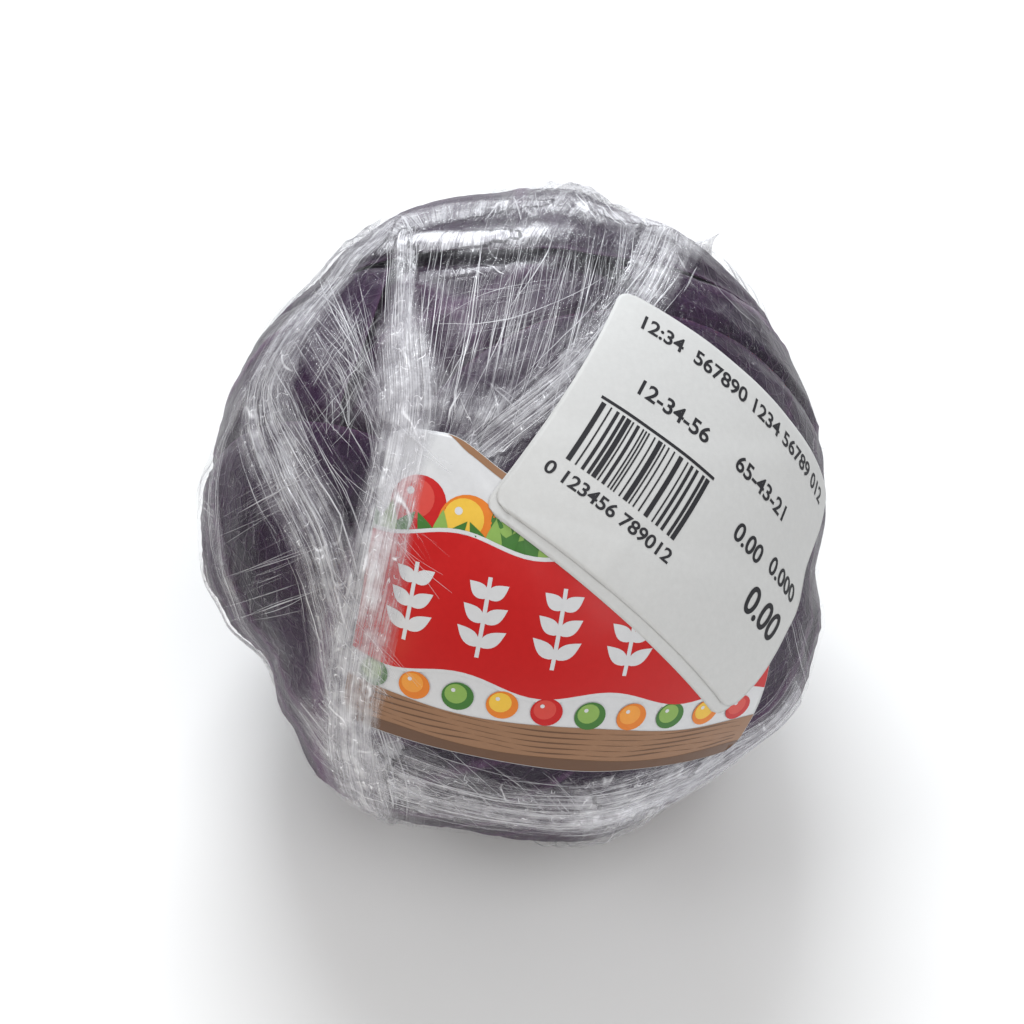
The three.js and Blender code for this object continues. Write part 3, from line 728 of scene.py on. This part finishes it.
def film_material():
    """Clear film whose fine creases carry painted highlights as white glint lines, turning milky and streaked
    along its gathers.
    """
    look = Look("stretch_film", {"Specular IOR Level": 0.9})
    milk = look.attribute("milk")
    grain = look.attribute("grain", "Vector")
    broad = look.noise(look.stretched(grain, (0.035, 0.6, 1.0)), 1.0, 3.0, 0.6)
    fine = look.noise(look.stretched(grain, (0.045, 3.2, 1.0)), 1.0, 1.0, 0.5)
    crumple = look.noise(look.place, 260.0, 4.0, 0.6)
    mixed = look.blend(look.blend(broad, fine, 0.55), crumple, 0.6)
    contrast = look.remap(mixed, 0.38, 0.62)
    haze = look.remap(milk, 0.8, 1.0, 0.38, 0.72)
    haze = look.maths("ADD", haze, look.maths("MULTIPLY", contrast, 0.5))
    # Painted highlights: glint lines on the creases raise the film's opacity and turn its colour near white,
    # in place of the light's own glints.
    curl_glints = glint_lines(look, look.stretched(look.place, (300.0, 240.0, 270.0)), 0.75)
    pull_glints = glint_lines(look, look.stretched(grain, (0.06, 0.9, 1.0)), 0.7)
    long_crease_glints = glint_lines(look, look.stretched(look.place, (80.0, 34.0, 60.0)), 0.5)
    glints = look.maths("MAXIMUM", look.maths("MAXIMUM", curl_glints, pull_glints), long_crease_glints)
    glints = look.maths("MULTIPLY", glints, look.remap(milk, 0.0, 0.5, 0.3, 1.0))
    body = look.maths("ADD", look.maths("MULTIPLY", milk, haze), 0.018)
    look.set("Alpha", look.maths("ADD", body, glints, True))
    colour = look.mix(contrast, (0.5, 0.485, 0.53), (0.84, 0.84, 0.88))
    # Painted highlight: where the glint lines run, the colour goes to near white.
    look.set("Base Color", look.mix(glints, colour, (0.97, 0.97, 1.0)))
    look.set("Roughness", look.remap(milk, 0, 1, 0.12, 0.26))
    look.bump(mixed, 0.0016)
    return look.material


def glint_lines(look, vector, strength):
    """Thin wandering lines on the film's creases, used as painted highlights: the film turns white and opaque
    along them.
    """
    away = look.maths("SUBTRACT", look.noise(vector, 1.0, 2.0, 0.5), 0.5)
    line = look.remap(look.maths("ABSOLUTE", away, 0.0), 0.0, 0.016, strength, 0.0)
    return look.maths("MULTIPLY", line, look.remap(look.noise(vector, 2.6, 2.0), 0.45, 0.7))


def strand_material():
    """Pulled strands of film, each with a shine of its own."""
    look = Look("film_strand", {"Specular IOR Level": 0.9, "Roughness": 0.22})
    look.set("Base Color", look.mix(look.noise(look.place, 60.0), (0.6, 0.6, 0.64), (0.92, 0.92, 0.95)))
    uneven = look.remap(look.noise(look.place, 90.0, 2.0), 0.35, 0.65, 0.55, 1.0)
    look.set("Alpha", look.maths("MULTIPLY", look.attribute("shine"), uneven))
    return look.material


def paper_material(name, colour, roughness, coat=0.0):
    """Paper with a faint mottle, and a coat if it is glossy."""
    look = Look(name, {"Coat Weight": coat, "Coat Roughness": 0.22, "Specular IOR Level": 0.28})
    mottle = look.noise(look.place, 900.0, 4.0, 0.7)
    look.set("Base Color", look.mix(mottle, tuple(0.86 * value for value in colour), colour))
    look.set("Roughness", look.remap(mottle, 0, 1, roughness - 0.06, roughness + 0.06))
    look.bump(look.noise(look.place, 130.0, 3.0), 0.0004, 0.35)
    return look.material


def floor_material():
    look = Look("floor", {"Roughness": 0.8})
    look.set("Base Color", look.mix(look.noise(look.place, 3.0), (0.8, 0.8, 0.8), (0.84, 0.84, 0.84)))
    return look.material


# Head


def build_heart(leaf_colour, cut):
    d, faces = ball(64)
    ripple = 0.18 * noise(d * 14, 31)
    places = d * (heart_surface_radius(d) + ripple)[:, None]
    edges = sum(np.exp(-((outside_leaf(leaf, d) / 0.9) ** 2)) for leaf in INNER_LEAVES)
    turn = np.linspace(0, 2 * math.pi, STALK_SIDES, endpoint=False)
    circle = np.stack([np.cos(turn), np.sin(turn)], axis=1)
    rings = [(0.0, 0.0), (5.0, 0.0), (10.0, 0.0), (14.0, 0.0), (STALK_RADIUS, 0.8), (STALK_RADIUS, STALK_TOP)]
    stalk = np.vstack([np.column_stack([radius * circle, np.full(STALK_SIDES, height - CENTRE[2])])
                       for radius, height in rings])
    all_places = np.vstack([places, stalk])
    all_faces = np.vstack([faces, tube_faces(len(rings), STALK_SIDES) + len(places)])
    low = all_places[all_faces].mean(axis=1)[:, 2] < 2 - CENTRE[2]
    is_cut = (np.arange(len(all_faces)) >= len(faces)) & low
    vein = np.concatenate([np.clip(edges, 0, 1) * 0.5, np.full(len(stalk), 0.7)])
    made = mesh_object("heart_leaves", all_places, all_faces, [leaf_colour, cut], {"vein": vein}, is_cut)
    dress(made, "heart_with_stalk")


def vein_relief(leaf, along, across):
    """How strongly a vein shows at places on a leaf, 1 on its crest."""
    per_degree = ROUND * math.pi / 180
    share = along / leaf["reach"]
    rib = np.exp(-((across * per_degree / (3.4 - 2.6 * share)) ** 2)) * fall(share, (0.78, 0.97))
    total = rib
    for start in SIDE_VEIN_STARTS:
        spread = SIDE_VEIN_SPREAD * leaf_half_width(leaf, np.array(start))
        t = np.abs(across) / spread
        course = start + SIDE_VEIN_CLIMB * t ** SIDE_VEIN_BEND
        course = course + 0.012 * np.sin(9 * t + 40 * start) * np.sign(across)
        away = (share - course) * leaf["reach"] * per_degree * 0.8
        width = np.maximum(1.5 - 1.0 * t, 0.35)
        total = np.maximum(total, np.exp(-((away / width) ** 2)) * fall(t, (0.75, 1.15)) * 0.75)
    return total


def build_leaf(index, leaf, material):
    rows, columns = ((116, 92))
    root = LEAF_ROOT / leaf["reach"]
    progress = np.linspace(0, 1, rows)
    turn = np.clip((progress - 0.5) / 0.5, 0, 0.985) * math.pi / 2
    lower = root + (LEAF_WIDEST - root) * np.minimum(progress / 0.5, 1)
    share = np.where(progress < 0.5, lower, LEAF_WIDEST + (1 - LEAF_WIDEST) * np.sin(turn))
    wave = EDGE_WAVE * np.sin(EDGE_WAVES * math.pi * share) + 0.5 * np.sin(41 * share + index)
    width = np.where(progress < 0.5, leaf_half_width(leaf, share), leaf["half_width"]) + wave
    half_width = (width * np.where(progress < 0.5, 1, np.cos(turn)))[:, None]
    across = half_width * np.linspace(-1, 1, columns)
    along = (share * leaf["reach"])[:, None] + np.zeros_like(across)
    d = leaf_direction(leaf, along, across).reshape(-1, 3)
    along, across = along.ravel(), across.ravel()
    vein = vein_relief(leaf, along, across)
    rim = np.clip(-outside_leaf(leaf, d), 0, None)
    thin = 0.35 + 0.65 * smoothstep(rim, 0, 5)
    pucker = 0.3 * noise(d * 16 + index, 41) * smoothstep(rim, 1, 8) + 0.12 * noise(d * 40 + index, 42)
    flesh = leaf_outer_radius(d, index)
    inner = flesh - LEAF_THICKNESS
    outer = inner + LEAF_THICKNESS * thin + 0.8 * VEIN_HEIGHT * vein + np.minimum(pucker, 0.15) - 0.12
    floor = (CENTRE[2] - FILM_FOOT_HEIGHT - 0.2) / np.maximum(-d[:, 2], 1e-3)
    places = np.vstack([d * np.minimum(outer, floor)[:, None], d * np.minimum(inner, floor - 0.4)[:, None]])
    clear = np.maximum(np.hypot(places[:, 0], places[:, 1]), 1e-6)
    low = places[:, 2] < 0
    push = np.where(low & (clear < STALK_RADIUS + GAP), (STALK_RADIUS + GAP) / clear, 1)
    places[:, :2] *= push[:, None]
    pale_rim = 0.35 * fall(rim, (0.0, 1.4))
    values = np.tile(np.clip(vein + pale_rim, 0, 1), 2)
    made = mesh_object(f"leaf_{index + 1}", places, sheet_faces(rows, columns), material, {"vein": values})
    dress(made, f"wrapper_leaf_{index + 1}")


# Film


def build_film(gathers, material):
    d, faces = ball(126)
    radius, milk, grain = film_surface(d, gathers)
    places = d * radius[:, None]
    keep = (places[:, 2] > 0) | (np.hypot(places[:, 0], places[:, 1]) > FILM_HOLE_RADIUS)
    gathered = fall(np.hypot(places[:, 0], places[:, 1]), (16, 34)) * (places[:, 2] < 0)
    milk = np.maximum(milk, 0.8 * gathered)
    places, faces, milk, grain = keep_faces(places, faces, keep, milk, grain)
    made = mesh_object("film_skin", places, faces, material, {"milk": milk, "grain": grain})
    dress(made, "stretch_film")


def build_film_flap(gathers, material):
    """Film that folds over the left edge of the printed sticker."""
    rows, columns = 120, 24
    gather = gathers[0]
    along = np.linspace(28, 0.8 * gather.length, rows)[:, None] + np.zeros(columns)
    width = 6.5 + 1.5 * noise(np.stack([along / 12, along * 0, along * 0], axis=-1), 61)
    side = np.linspace(-1, 1, columns)
    d = gather.place(along, side * width).reshape(-1, 3)
    surface, _, _ = film_surface(d, gathers)
    radius = np.maximum(surface, sticker_radius(d, [])) + FLAP_LIFT
    ends = smoothstep(along, 28, 40) * (1 - smoothstep(along, 0.7 * gather.length, 0.8 * gather.length))
    milk = (0.85 * (1 - side ** 2) * ends).ravel()
    grain = np.stack([along.ravel(), (side * width).ravel(), np.full(len(d), 3.0)], axis=1)
    made = mesh_object("film_flap", d * radius[:, None], grid_faces(rows, columns), material,
                       {"milk": milk, "grain": grain})
    dress(made)


def build_film_tail(material):
    """The pulled-out tip of film at the upper right."""
    d = at_pixels([(707, 243)])[0]
    side = unit(np.cross(d, VIEW))
    other = np.cross(d, side)
    rings = 9
    turn = np.linspace(0, 2 * math.pi, 12, endpoint=False)
    places = []
    for ring in range(rings):
        share = ring / (rings - 1)
        radius = 1.9 * (1 - share) ** 2 + 0.1
        lean = d * (film_radius(d) - 0.6 + 4.4 * share) + side * 0.9 * share ** 2
        wobble = 1 + 0.3 * np.sin(3 * turn + 2 * share)
        places.append(lean + (radius * wobble)[:, None]
                      * (np.cos(turn)[:, None] * side + np.sin(turn)[:, None] * other))
    places = np.vstack(places)
    made = mesh_object("film_tail", places, tube_faces(rings, len(turn)), material,
                       {"milk": np.full(len(places), 0.6), "grain": places})
    dress(made)


def ribbons(name, runs, widths, material, gathers, over_stickers=False):
    """Thin strands of film: each run is a row of directions, widths are half widths in millimetres."""
    count, steps = runs.shape[:2]
    radius, _, _ = film_surface(runs, gathers)
    draw = np.random.default_rng(7)
    lift = draw.uniform(*STRAND_LIFTS, (count, 1))
    if over_stickers:
        radius = np.maximum(radius, sticker_radius(runs, [])) + OVER_STICKER_LIFT
    centre = runs * (radius + lift)[..., None]
    ahead = np.gradient(centre, axis=1)
    side = unit(np.cross(runs, ahead))
    taper = np.sin(np.linspace(0.12, math.pi - 0.12, steps)) ** 0.6
    offset = side * (widths[:, None] * taper)[..., None]
    crest = centre + runs * (0.6 * widths)[:, None, None]
    places = np.stack([centre - offset, crest, centre + offset], axis=2).reshape(-1, 3)
    base = (np.arange(count)[:, None] * steps + np.arange(steps - 1)).ravel() * 3
    left = np.stack([base, base + 3, base + 4, base + 1], axis=1)
    faces = np.vstack([left, left + 1])
    shine = np.repeat(0.85 * draw.uniform(0.1, 1, count) ** 1.6, steps * 3)
    made = mesh_object(name, places, faces, material, {"shine": shine})
    dress(made)


def gather_strands(gathers, material):
    """Strands that run along the gathers."""
    draw = np.random.default_rng(101)
    steps = 10
    runs = []
    widths = []
    for gather in gathers:
        area = gather.length * gather.half_width.mean() * 2
        count = int(area * gather.milk.mean() * STRAND_DENSITY)
        starts = draw.uniform(-4, gather.length - 4, count)[:, None]
        lane = draw.normal(0, 0.5, count)[:, None]
        run = np.linspace(-0.5, 0.5, steps)
        if gather.crosswise:
            along = starts + 4 + draw.normal(0, 1.5, count)[:, None] * run
            reach = 1.8 * draw.uniform(0.4, 1, count)[:, None] * run
            across = (0.25 * lane + reach) * gather.half_width.mean()
        else:
            along = starts + draw.uniform(9, 34, count)[:, None] * (run + 0.5)
            along = np.clip(along, 0.2, gather.length - 0.2)
            waver = 0.05 * np.sin(along / 5 + draw.uniform(0, 6, count)[:, None])
            lanes = lane + draw.normal(0, 0.12, count)[:, None] * run + waver
            across = np.clip(lanes, -STRAND_SPREAD, STRAND_SPREAD)
            across = across * np.interp(along, gather.distance, gather.half_width)
        runs.append(gather.place(np.clip(along, 0.2, gather.length - 0.2), across))
        widths.append(draw.uniform(0.035, 0.085, count) * draw.choice([1.0, 1.0, 1.0, 2.0], count))
    runs, widths = np.vstack(runs), np.concatenate(widths)
    bare = np.minimum(outside_sticker(PRINTED, runs), outside_sticker(PRICE, runs)).min(axis=1) > -7
    ribbons("film_strands", runs[bare], widths[bare], material, gathers)


def fan_strands(name, fans, material, gathers, over_stickers=False):
    """Single strands that span between two places, bowed a little."""
    draw = np.random.default_rng(202)
    steps = 11
    share = np.linspace(0, 1, steps)[None, :, None]
    runs = []
    for start, end, start_span, end_span, stray, count in fans:
        lane = draw.uniform(-1, 1, (count, 1))
        first = start + lane * start_span + draw.normal(0, 0.5 * stray, (count, 2))
        last = end + lane * end_span + draw.normal(0, 0.5 * stray, (count, 2))
        trim = draw.uniform(0, 0.45, (2, count, 1))
        first, last = first + (last - first) * trim[0], last + (first - last) * trim[1]
        bow = np.stack([first[:, 1] - last[:, 1], last[:, 0] - first[:, 0]], axis=1)
        bow = bow * draw.normal(0, 0.002 * stray, (count, 1))
        pixels = first[:, None] * (1 - share) + last[:, None] * share
        pixels = pixels + bow[:, None] * np.sin(math.pi * share)
        runs.append(at_pixels(pixels.reshape(-1, 2)).reshape(count, steps, 3))
    runs = np.vstack(runs)
    widths = draw.uniform(0.022, 0.06, len(runs)) * draw.choice([1.0, 1.0, 1.8], len(runs))
    ribbons(name, runs, widths, material, gathers, over_stickers)


# Stickers


def build_sticker(name, node_name, sticker, below, material, creases=()):
    """A sticker as a thin closed sheet with round corners."""
    columns, rows = ((92, 72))
    u = np.linspace(-1, 1, columns) * sticker["width"] / 2
    v = np.linspace(-1, 1, rows)[:, None] * sticker["depth"] / 2
    u = u * (1 - corner_inset(sticker, v) / (sticker["width"] / 2))
    v = v + 0 * u
    if sticker is PRINTED:
        v = np.where(v > 0, v * (1 - top_drop(u) / (sticker["depth"] / 2)), v)
    places = np.stack([u, v], axis=-1).reshape(-1, 2)
    d = sticker_direction(sticker, places)
    outer = sticker_radius(d, below) + sticker_ripple(sticker, d, creases)
    body = np.vstack([d * outer[:, None], d * (outer - STICKER_THICKNESS)[:, None]])
    made = mesh_object(name, body, sheet_faces(rows, columns)[:, ::-1], material)
    dress(made, node_name)


def corner_inset(sticker, v):
    """How far a sticker's round corners step in from its sides at a height on it."""
    corner = sticker["corner"]
    into = np.maximum(np.abs(v) - (sticker["depth"] / 2 - corner), 0)
    return corner - np.sqrt(np.maximum(corner ** 2 - into ** 2, 0))


def top_drop(u):
    """How far the printed sticker's top edge is cut down."""
    return TOP_DROP * smoothstep(u, *TOP_DROP_SPAN)


def sticker_ripple(sticker, d, creases):
    """Shallow waves and sharp creases of a sticker, in millimetres."""
    u, v = sticker_place(sticker, d)
    waves = 0.07 * noise(np.stack([u / 11, v / 11, 0 * u + sticker["width"]], axis=-1), 51)
    for (u0, v0), (u1, v1), height in creases:
        length = math.hypot(u1 - u0, v1 - v0)
        along = ((u - u0) * (u1 - u0) + (v - v0) * (v1 - v0)) / length
        away = ((u - u0) * (v1 - v0) - (v - v0) * (u1 - u0)) / length
        ends = smoothstep(along, -3, 3) * (1 - smoothstep(along, length - 3, length + 3))
        waves = waves + height * np.exp(-((away / 1.9) ** 2)) * ends
    return waves


class Print:
    """Flat shapes printed on a sticker, collected by colour and laid on its surface."""

    def __init__(self, name, sticker, below, creases, slot):
        self.name = name
        self.sticker = sticker
        self.below = below
        self.creases = creases
        self.slot = slot
        self.layers = {}

    def add(self, colour, lift, places, faces):
        """Adds a mesh of places in millimetres on the sticker, kept inside its round corners."""
        high = self.sticker["depth"] / 2 - 0.1
        v = np.clip(places[:, 1], -high, high)
        limit = self.sticker["width"] / 2 - corner_inset(self.sticker, v) - 0.15
        places = np.stack([np.clip(places[:, 0], -limit, limit), v], axis=1)
        layer = self.layers.setdefault(colour, ([], [], [0]))
        layer[1].extend([[index + layer[2][0] for index in face] for face in faces])
        layer[0].append(np.column_stack([places, np.full(len(places), lift)]))
        layer[2][0] += len(places)

    def shape(self, colour, lift, outline, cell=1.2):
        """Adds a filled outline, with points inside it so that it follows the curve of the head."""
        outline = split_edges(np.asarray(outline, dtype=float), cell)
        low, high = outline.min(axis=0), outline.max(axis=0)
        inside = [(u, v) for u in np.arange(low[0] + cell / 2, high[0], cell)
                  for v in np.arange(low[1] + cell / 2, high[1], cell)]
        points = [tuple(place) for place in outline] + inside
        loop = [list(range(len(outline)))]
        places, _, faces, *_ = delaunay_2d_cdt(points, [], loop, 1, 1e-5)
        self.add(colour, lift, np.array(places), [list(face) for face in faces])

    def numerals(self, colour, lift, text, middle, height, stretch=1.0):
        """Adds a row of plain numerals, given its middle and its height."""
        curve = bpy.data.curves.new("numerals", "FONT")
        curve.body = text
        curve.offset = 0.02
        made = bpy.data.objects.new("numerals", curve)
        bpy.context.scene.collection.objects.link(made)
        mesh = bpy.data.meshes.new_from_object(made.evaluated_get(bpy.context.evaluated_depsgraph_get()))
        places = np.array([vertex.co[:2] for vertex in mesh.vertices])
        faces = [list(face.vertices) for face in mesh.polygons]
        bpy.data.objects.remove(made)
        bpy.data.curves.remove(curve)
        bpy.data.meshes.remove(mesh)
        low, high = places.min(axis=0), places.max(axis=0)
        places = (places - (low + high) / 2) * height / (high[1] - low[1])
        self.add(colour, lift, places * (stretch, 1) + middle, faces)

    def build(self, materials):
        for number, (colour, (places, faces, _)) in enumerate(self.layers.items()):
            flat = np.vstack(places)
            d = sticker_direction(self.sticker, flat[:, :2])
            surface = sticker_radius(d, self.below) + sticker_ripple(self.sticker, d, self.creases)
            radius = surface + flat[:, 2]
            corners = np.array([face[:3] for face in faces])
            first, second, third = (flat[corners[:, k], :2] for k in range(3))
            turned = np.cross(second - first, third - first) < 0
            faces = [face[::-1] if back else face for face, back in zip(faces, turned)]
            made = mesh_object(f"{self.name}_{number + 1}", d * radius[:, None], faces, materials[colour])
            dress(made)


def split_edges(outline, longest):
    """A closed outline with points added on its edges, so that none is longer than longest."""
    places = []
    for start, end in zip(outline, np.roll(outline, -1, axis=0)):
        count = max(1, math.ceil(math.dist(start, end) / longest))
        places.extend(start + (end - start) * step / count for step in range(count))
    return np.array(places)


def arc(middle, radius, start, end, steps=24):
    turn = np.radians(np.linspace(start, end, steps))
    return [(middle[0] + radius * math.cos(t), middle[1] + radius * math.sin(t)) for t in turn]


def leaf_outline(root, length, width, turn, steps=10):
    """A pointed leaf shape from its root, turned from the upright by an angle in degrees."""
    share = np.linspace(0, 1, steps)
    half = width / 2 * np.sin(math.pi * share ** 0.8)
    right = np.stack([half, share * length], axis=1)
    left = np.stack([-half[1:-1], share[1:-1] * length], axis=1)[::-1]
    shape = np.vstack([right, left])
    spin = math.radians(turn)
    rotate = np.array([[math.cos(spin), math.sin(spin)], [-math.sin(spin), math.cos(spin)]])
    return shape @ rotate + root


def band_outline(sticker, low, high, wave_low=0.0, wave_high=0.0, period=26.0, inset=0.35):
    """A band right across a sticker, with wavy upper and lower edges."""
    half = sticker["width"] / 2 - inset
    u = np.linspace(-half, half, 48)
    lower = [(x, low + wave_low * math.sin(2 * math.pi * x / period)) for x in u]
    upper = [(x, high + wave_high * math.sin(2 * math.pi * x / period + 1)) for x in u[::-1]]
    return lower + upper


def print_disc(sheet, middle, radius, colour, light, lift):
    """A round shape with a lighter upper side and a small bright spot."""
    sheet.shape(colour, lift, arc(middle, radius, 0, 360, 28)[:-1])
    upper = (middle[0] - 0.14 * radius, middle[1] + 0.16 * radius)
    sheet.shape(light, lift + 0.02, arc(upper, 0.7 * radius, 0, 360, 24)[:-1])
    spot = (middle[0] - 0.34 * radius, middle[1] + 0.4 * radius)
    sheet.shape(WHITE, lift + 0.04, arc(spot, 0.14 * radius, 0, 360, 12)[:-1])


def print_picture(materials):
    """A plain pattern on the printed sticker: discs, a red band with sprigs, beads and a brown foot."""
    sheet = Print("picture", PRINTED, [], PRINTED_CREASES, "printed_paper")
    tones = ((RED, LIGHT_RED), (ORANGE, LIGHT_ORANGE), (GREEN, LIGHT_GREEN), (ORANGE, YELLOW))
    for column in range(8):
        middle = (-31.5 + 8.9 * column, 15.4 - 0.35 * column - 1.6 * (column % 2))
        print_disc(sheet, middle, 5.0, *tones[(3 * column) % 4], LIFTS["disc"] + 0.004 * column)
    for column in range(9):
        root = np.array([-36.0 + 9.1 * column, 7.0])
        for turn, colour, over in ((-32, GREEN, 0.0), (0, LIGHT_GREEN, 0.01), (32, GREEN, 0.0)):
            sheet.shape(colour, LIFTS["leaf"] + over, leaf_outline(root, 8.2, 3.0, turn))
    sheet.shape(WHITE, LIFTS["white_band"], band_outline(PRINTED, -13.6, 11.2, 1.2, 1.2))
    sheet.shape(RED, LIFTS["red_band"], band_outline(PRINTED, -12.9, 10.5, 1.2, 1.2))
    for column in range(6):
        root = np.array([-29.8 + 12.5 * column, -8.5])
        stem = [root + (-0.35, 0), root + (0.35, 0), root + (0.35, 14), root + (-0.35, 14)]
        sheet.shape(WHITE, LIFTS["stem"], stem)
        for level, side in ((2, 1), (2, -1), (6.2, 1), (6.2, -1), (10.4, 1), (10.4, -1)):
            leaf = leaf_outline(root + (0, level), 5.4 - 0.12 * level, 2.5, 52 * side)
            sheet.shape(WHITE, LIFTS["sprig"], leaf)
    sheet.shape(BROWN, LIFTS["brown"], band_outline(PRINTED, -28.3, -19.4, 0.0, 0.5, 40.0, 0.2))
    sheet.shape(DARK_BROWN, LIFTS["grain"], band_outline(PRINTED, -28.3, -26.0, 0.0, 0.3, 31.0, 0.2))
    for line in range(5):
        height = -24.9 + 1.15 * line
        streak = band_outline(PRINTED, height, height + 0.1, 0.22, 0.22, 17.0 + 3 * line, 2.5)
        sheet.shape(DARK_BROWN, LIFTS["grain"], streak)
    beads = (tones[2], tones[1], tones[2], tones[3], tones[0])
    for column in range(10):
        print_disc(sheet, (-34.0 + 7.5 * column, -16.4), 2.7, *beads[column % 5], LIFTS["bead"])
    u = np.linspace(-28.5, -12.0, 20)
    top = PRINTED["depth"] / 2 - top_drop(u)
    lower = top - 1.5 * smoothstep(u, -29, -24)
    sheet.shape(BROWN, LIFTS["brown"], [*zip(u, lower), *zip(u[::-1], top[::-1] - 0.1)])
    sheet.build(materials)


def print_price(materials):
    """Made-up numerals and a bar pattern, by a rule, on the price sticker."""
    sheet = Print("price_print", PRICE, [PRINTED, PRICE_UNDER], PRICE_CREASES, "white_paper")
    draw = np.random.default_rng(5)
    place = -25.5
    while place < -2.2:
        width = 0.3 * draw.integers(1, 4)
        bar = [(place, -12.2), (place + width, -12.2), (place + width, 0.4), (place, 0.4)]
        sheet.shape(INK, LIFTS["bar"], bar)
        place += width + 0.3 * draw.integers(1, 4)
    sheet.shape(INK, LIFTS["bar"], [(-26.0, 0.9), (-1.6, 0.9), (-1.6, 1.5), (-26.0, 1.5)])
    for text, middle, height, stretch in NUMERALS:
        sheet.numerals(INK, LIFTS["numeral"], text, middle, height, stretch)
    sheet.build(materials)


# Stage


def build_floor():
    corners = np.array([(-1, -1, 0), (1, -1, 0), (1, 1, 0), (-1, 1, 0)]) * FLOOR_HALF - CENTRE
    mesh_object("floor", corners, [(0, 1, 2, 3)], floor_material())


def area_light(name, bearing, height, distance, size, power, colour):
    light = bpy.data.lights.new(name, "AREA")
    light.shape = "RECTANGLE"
    light.size, light.size_y = size
    light.energy = power
    light.color = colour
    made = bpy.data.objects.new(name, light)
    out = direction(float(bearing), float(height))
    made.matrix_world = look_at(out * distance + CENTRE * MM, out)
    bpy.context.scene.collection.objects.link(made)


def look_at(place, out):
    """A camera's or light's matrix at a place, looking along -out, with the world's up upwards."""
    right = unit(np.cross([0, 0, 1.0], out))
    up = np.cross(out, right)
    matrix = np.eye(4)
    matrix[:3, 0], matrix[:3, 1], matrix[:3, 2], matrix[:3, 3] = right, up, out, place
    return Matrix(matrix.tolist())


def build_lights():
    for name, settings in LIGHTS.items():
        area_light(name, *settings)
    world = bpy.data.worlds.new("studio")
    world.use_nodes = True
    background = world.node_tree.nodes["Background"]
    background.inputs["Color"].default_value = (1.0, 1.0, 1.0, 1)
    background.inputs["Strength"].default_value = SKY_STRENGTH
    bpy.context.scene.world = world


def build_camera():
    camera = bpy.data.cameras.new("camera")
    camera.sensor_width = SENSOR
    camera.lens = SENSOR * CAMERA_DISTANCE / (PHOTO_SIZE * PHOTO_MM_PER_PIXEL)
    camera.shift_x = (PHOTO_SIZE / 2 - PHOTO_CENTRE[0]) / PHOTO_SIZE
    camera.shift_y = (PHOTO_CENTRE[1] - PHOTO_SIZE / 2) / PHOTO_SIZE
    camera.clip_start = 0.01
    made = bpy.data.objects.new("camera", camera)
    made.matrix_world = look_at((CENTRE + VIEW * CAMERA_DISTANCE) * MM, VIEW)
    bpy.context.scene.collection.objects.link(made)
    bpy.context.scene.camera = made
    bpy.context.scene.view_settings.view_transform = "Standard"


def main():
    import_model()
    leaf_skin = leaf_material("leaf_skin", *LEAF_COLOURS)
    heart_skin = leaf_material("heart_skin", *HEART_COLOURS)
    build_heart(heart_skin, stalk_material())
    for index, leaf in enumerate(WRAPPER_LEAVES):
        build_leaf(index, leaf, leaf_skin)

    gathers = [Gather(number, **gather) for number, gather in enumerate([*GATHERS, *back_gathers()])]
    skin = film_material()
    strand = strand_material()
    build_film(gathers, skin)
    build_film_flap(gathers, skin)
    build_film_tail(skin)
    gather_strands(gathers, strand)
    fan_strands("film_threads", FANS, strand, gathers)
    fan_strands("film_edge_threads", EDGE_FANS, strand, gathers, over_stickers=True)

    white_print = paper_material("white_print", WHITE, 0.4, 0.4)
    matt_white = paper_material("matt_white", MATT_WHITE, 0.62)
    build_sticker("printed_sheet", "sticker_printed", PRINTED, [], white_print,
                  PRINTED_CREASES)
    build_sticker("under_sheet", "sticker_price_under", PRICE_UNDER, [PRINTED], matt_white)
    build_sticker("price_sheet", "sticker_price", PRICE, [PRINTED, PRICE_UNDER], matt_white,
                  PRICE_CREASES)
    colours = {"red": RED, "brown": BROWN, "dark_brown": DARK_BROWN, "green": GREEN,
               "light_green": LIGHT_GREEN, "orange": ORANGE, "yellow": YELLOW,
               "light_red": LIGHT_RED, "light_orange": LIGHT_ORANGE}
    inks = {colour: paper_material(f"print_{name}", colour, 0.36, 0.12)
            for name, colour in colours.items()}
    inks[WHITE] = white_print
    print_picture(inks)
    print_price({INK: paper_material("thermal_ink", INK, 0.6)})

    build_floor()
    build_lights()
    build_camera()


main()
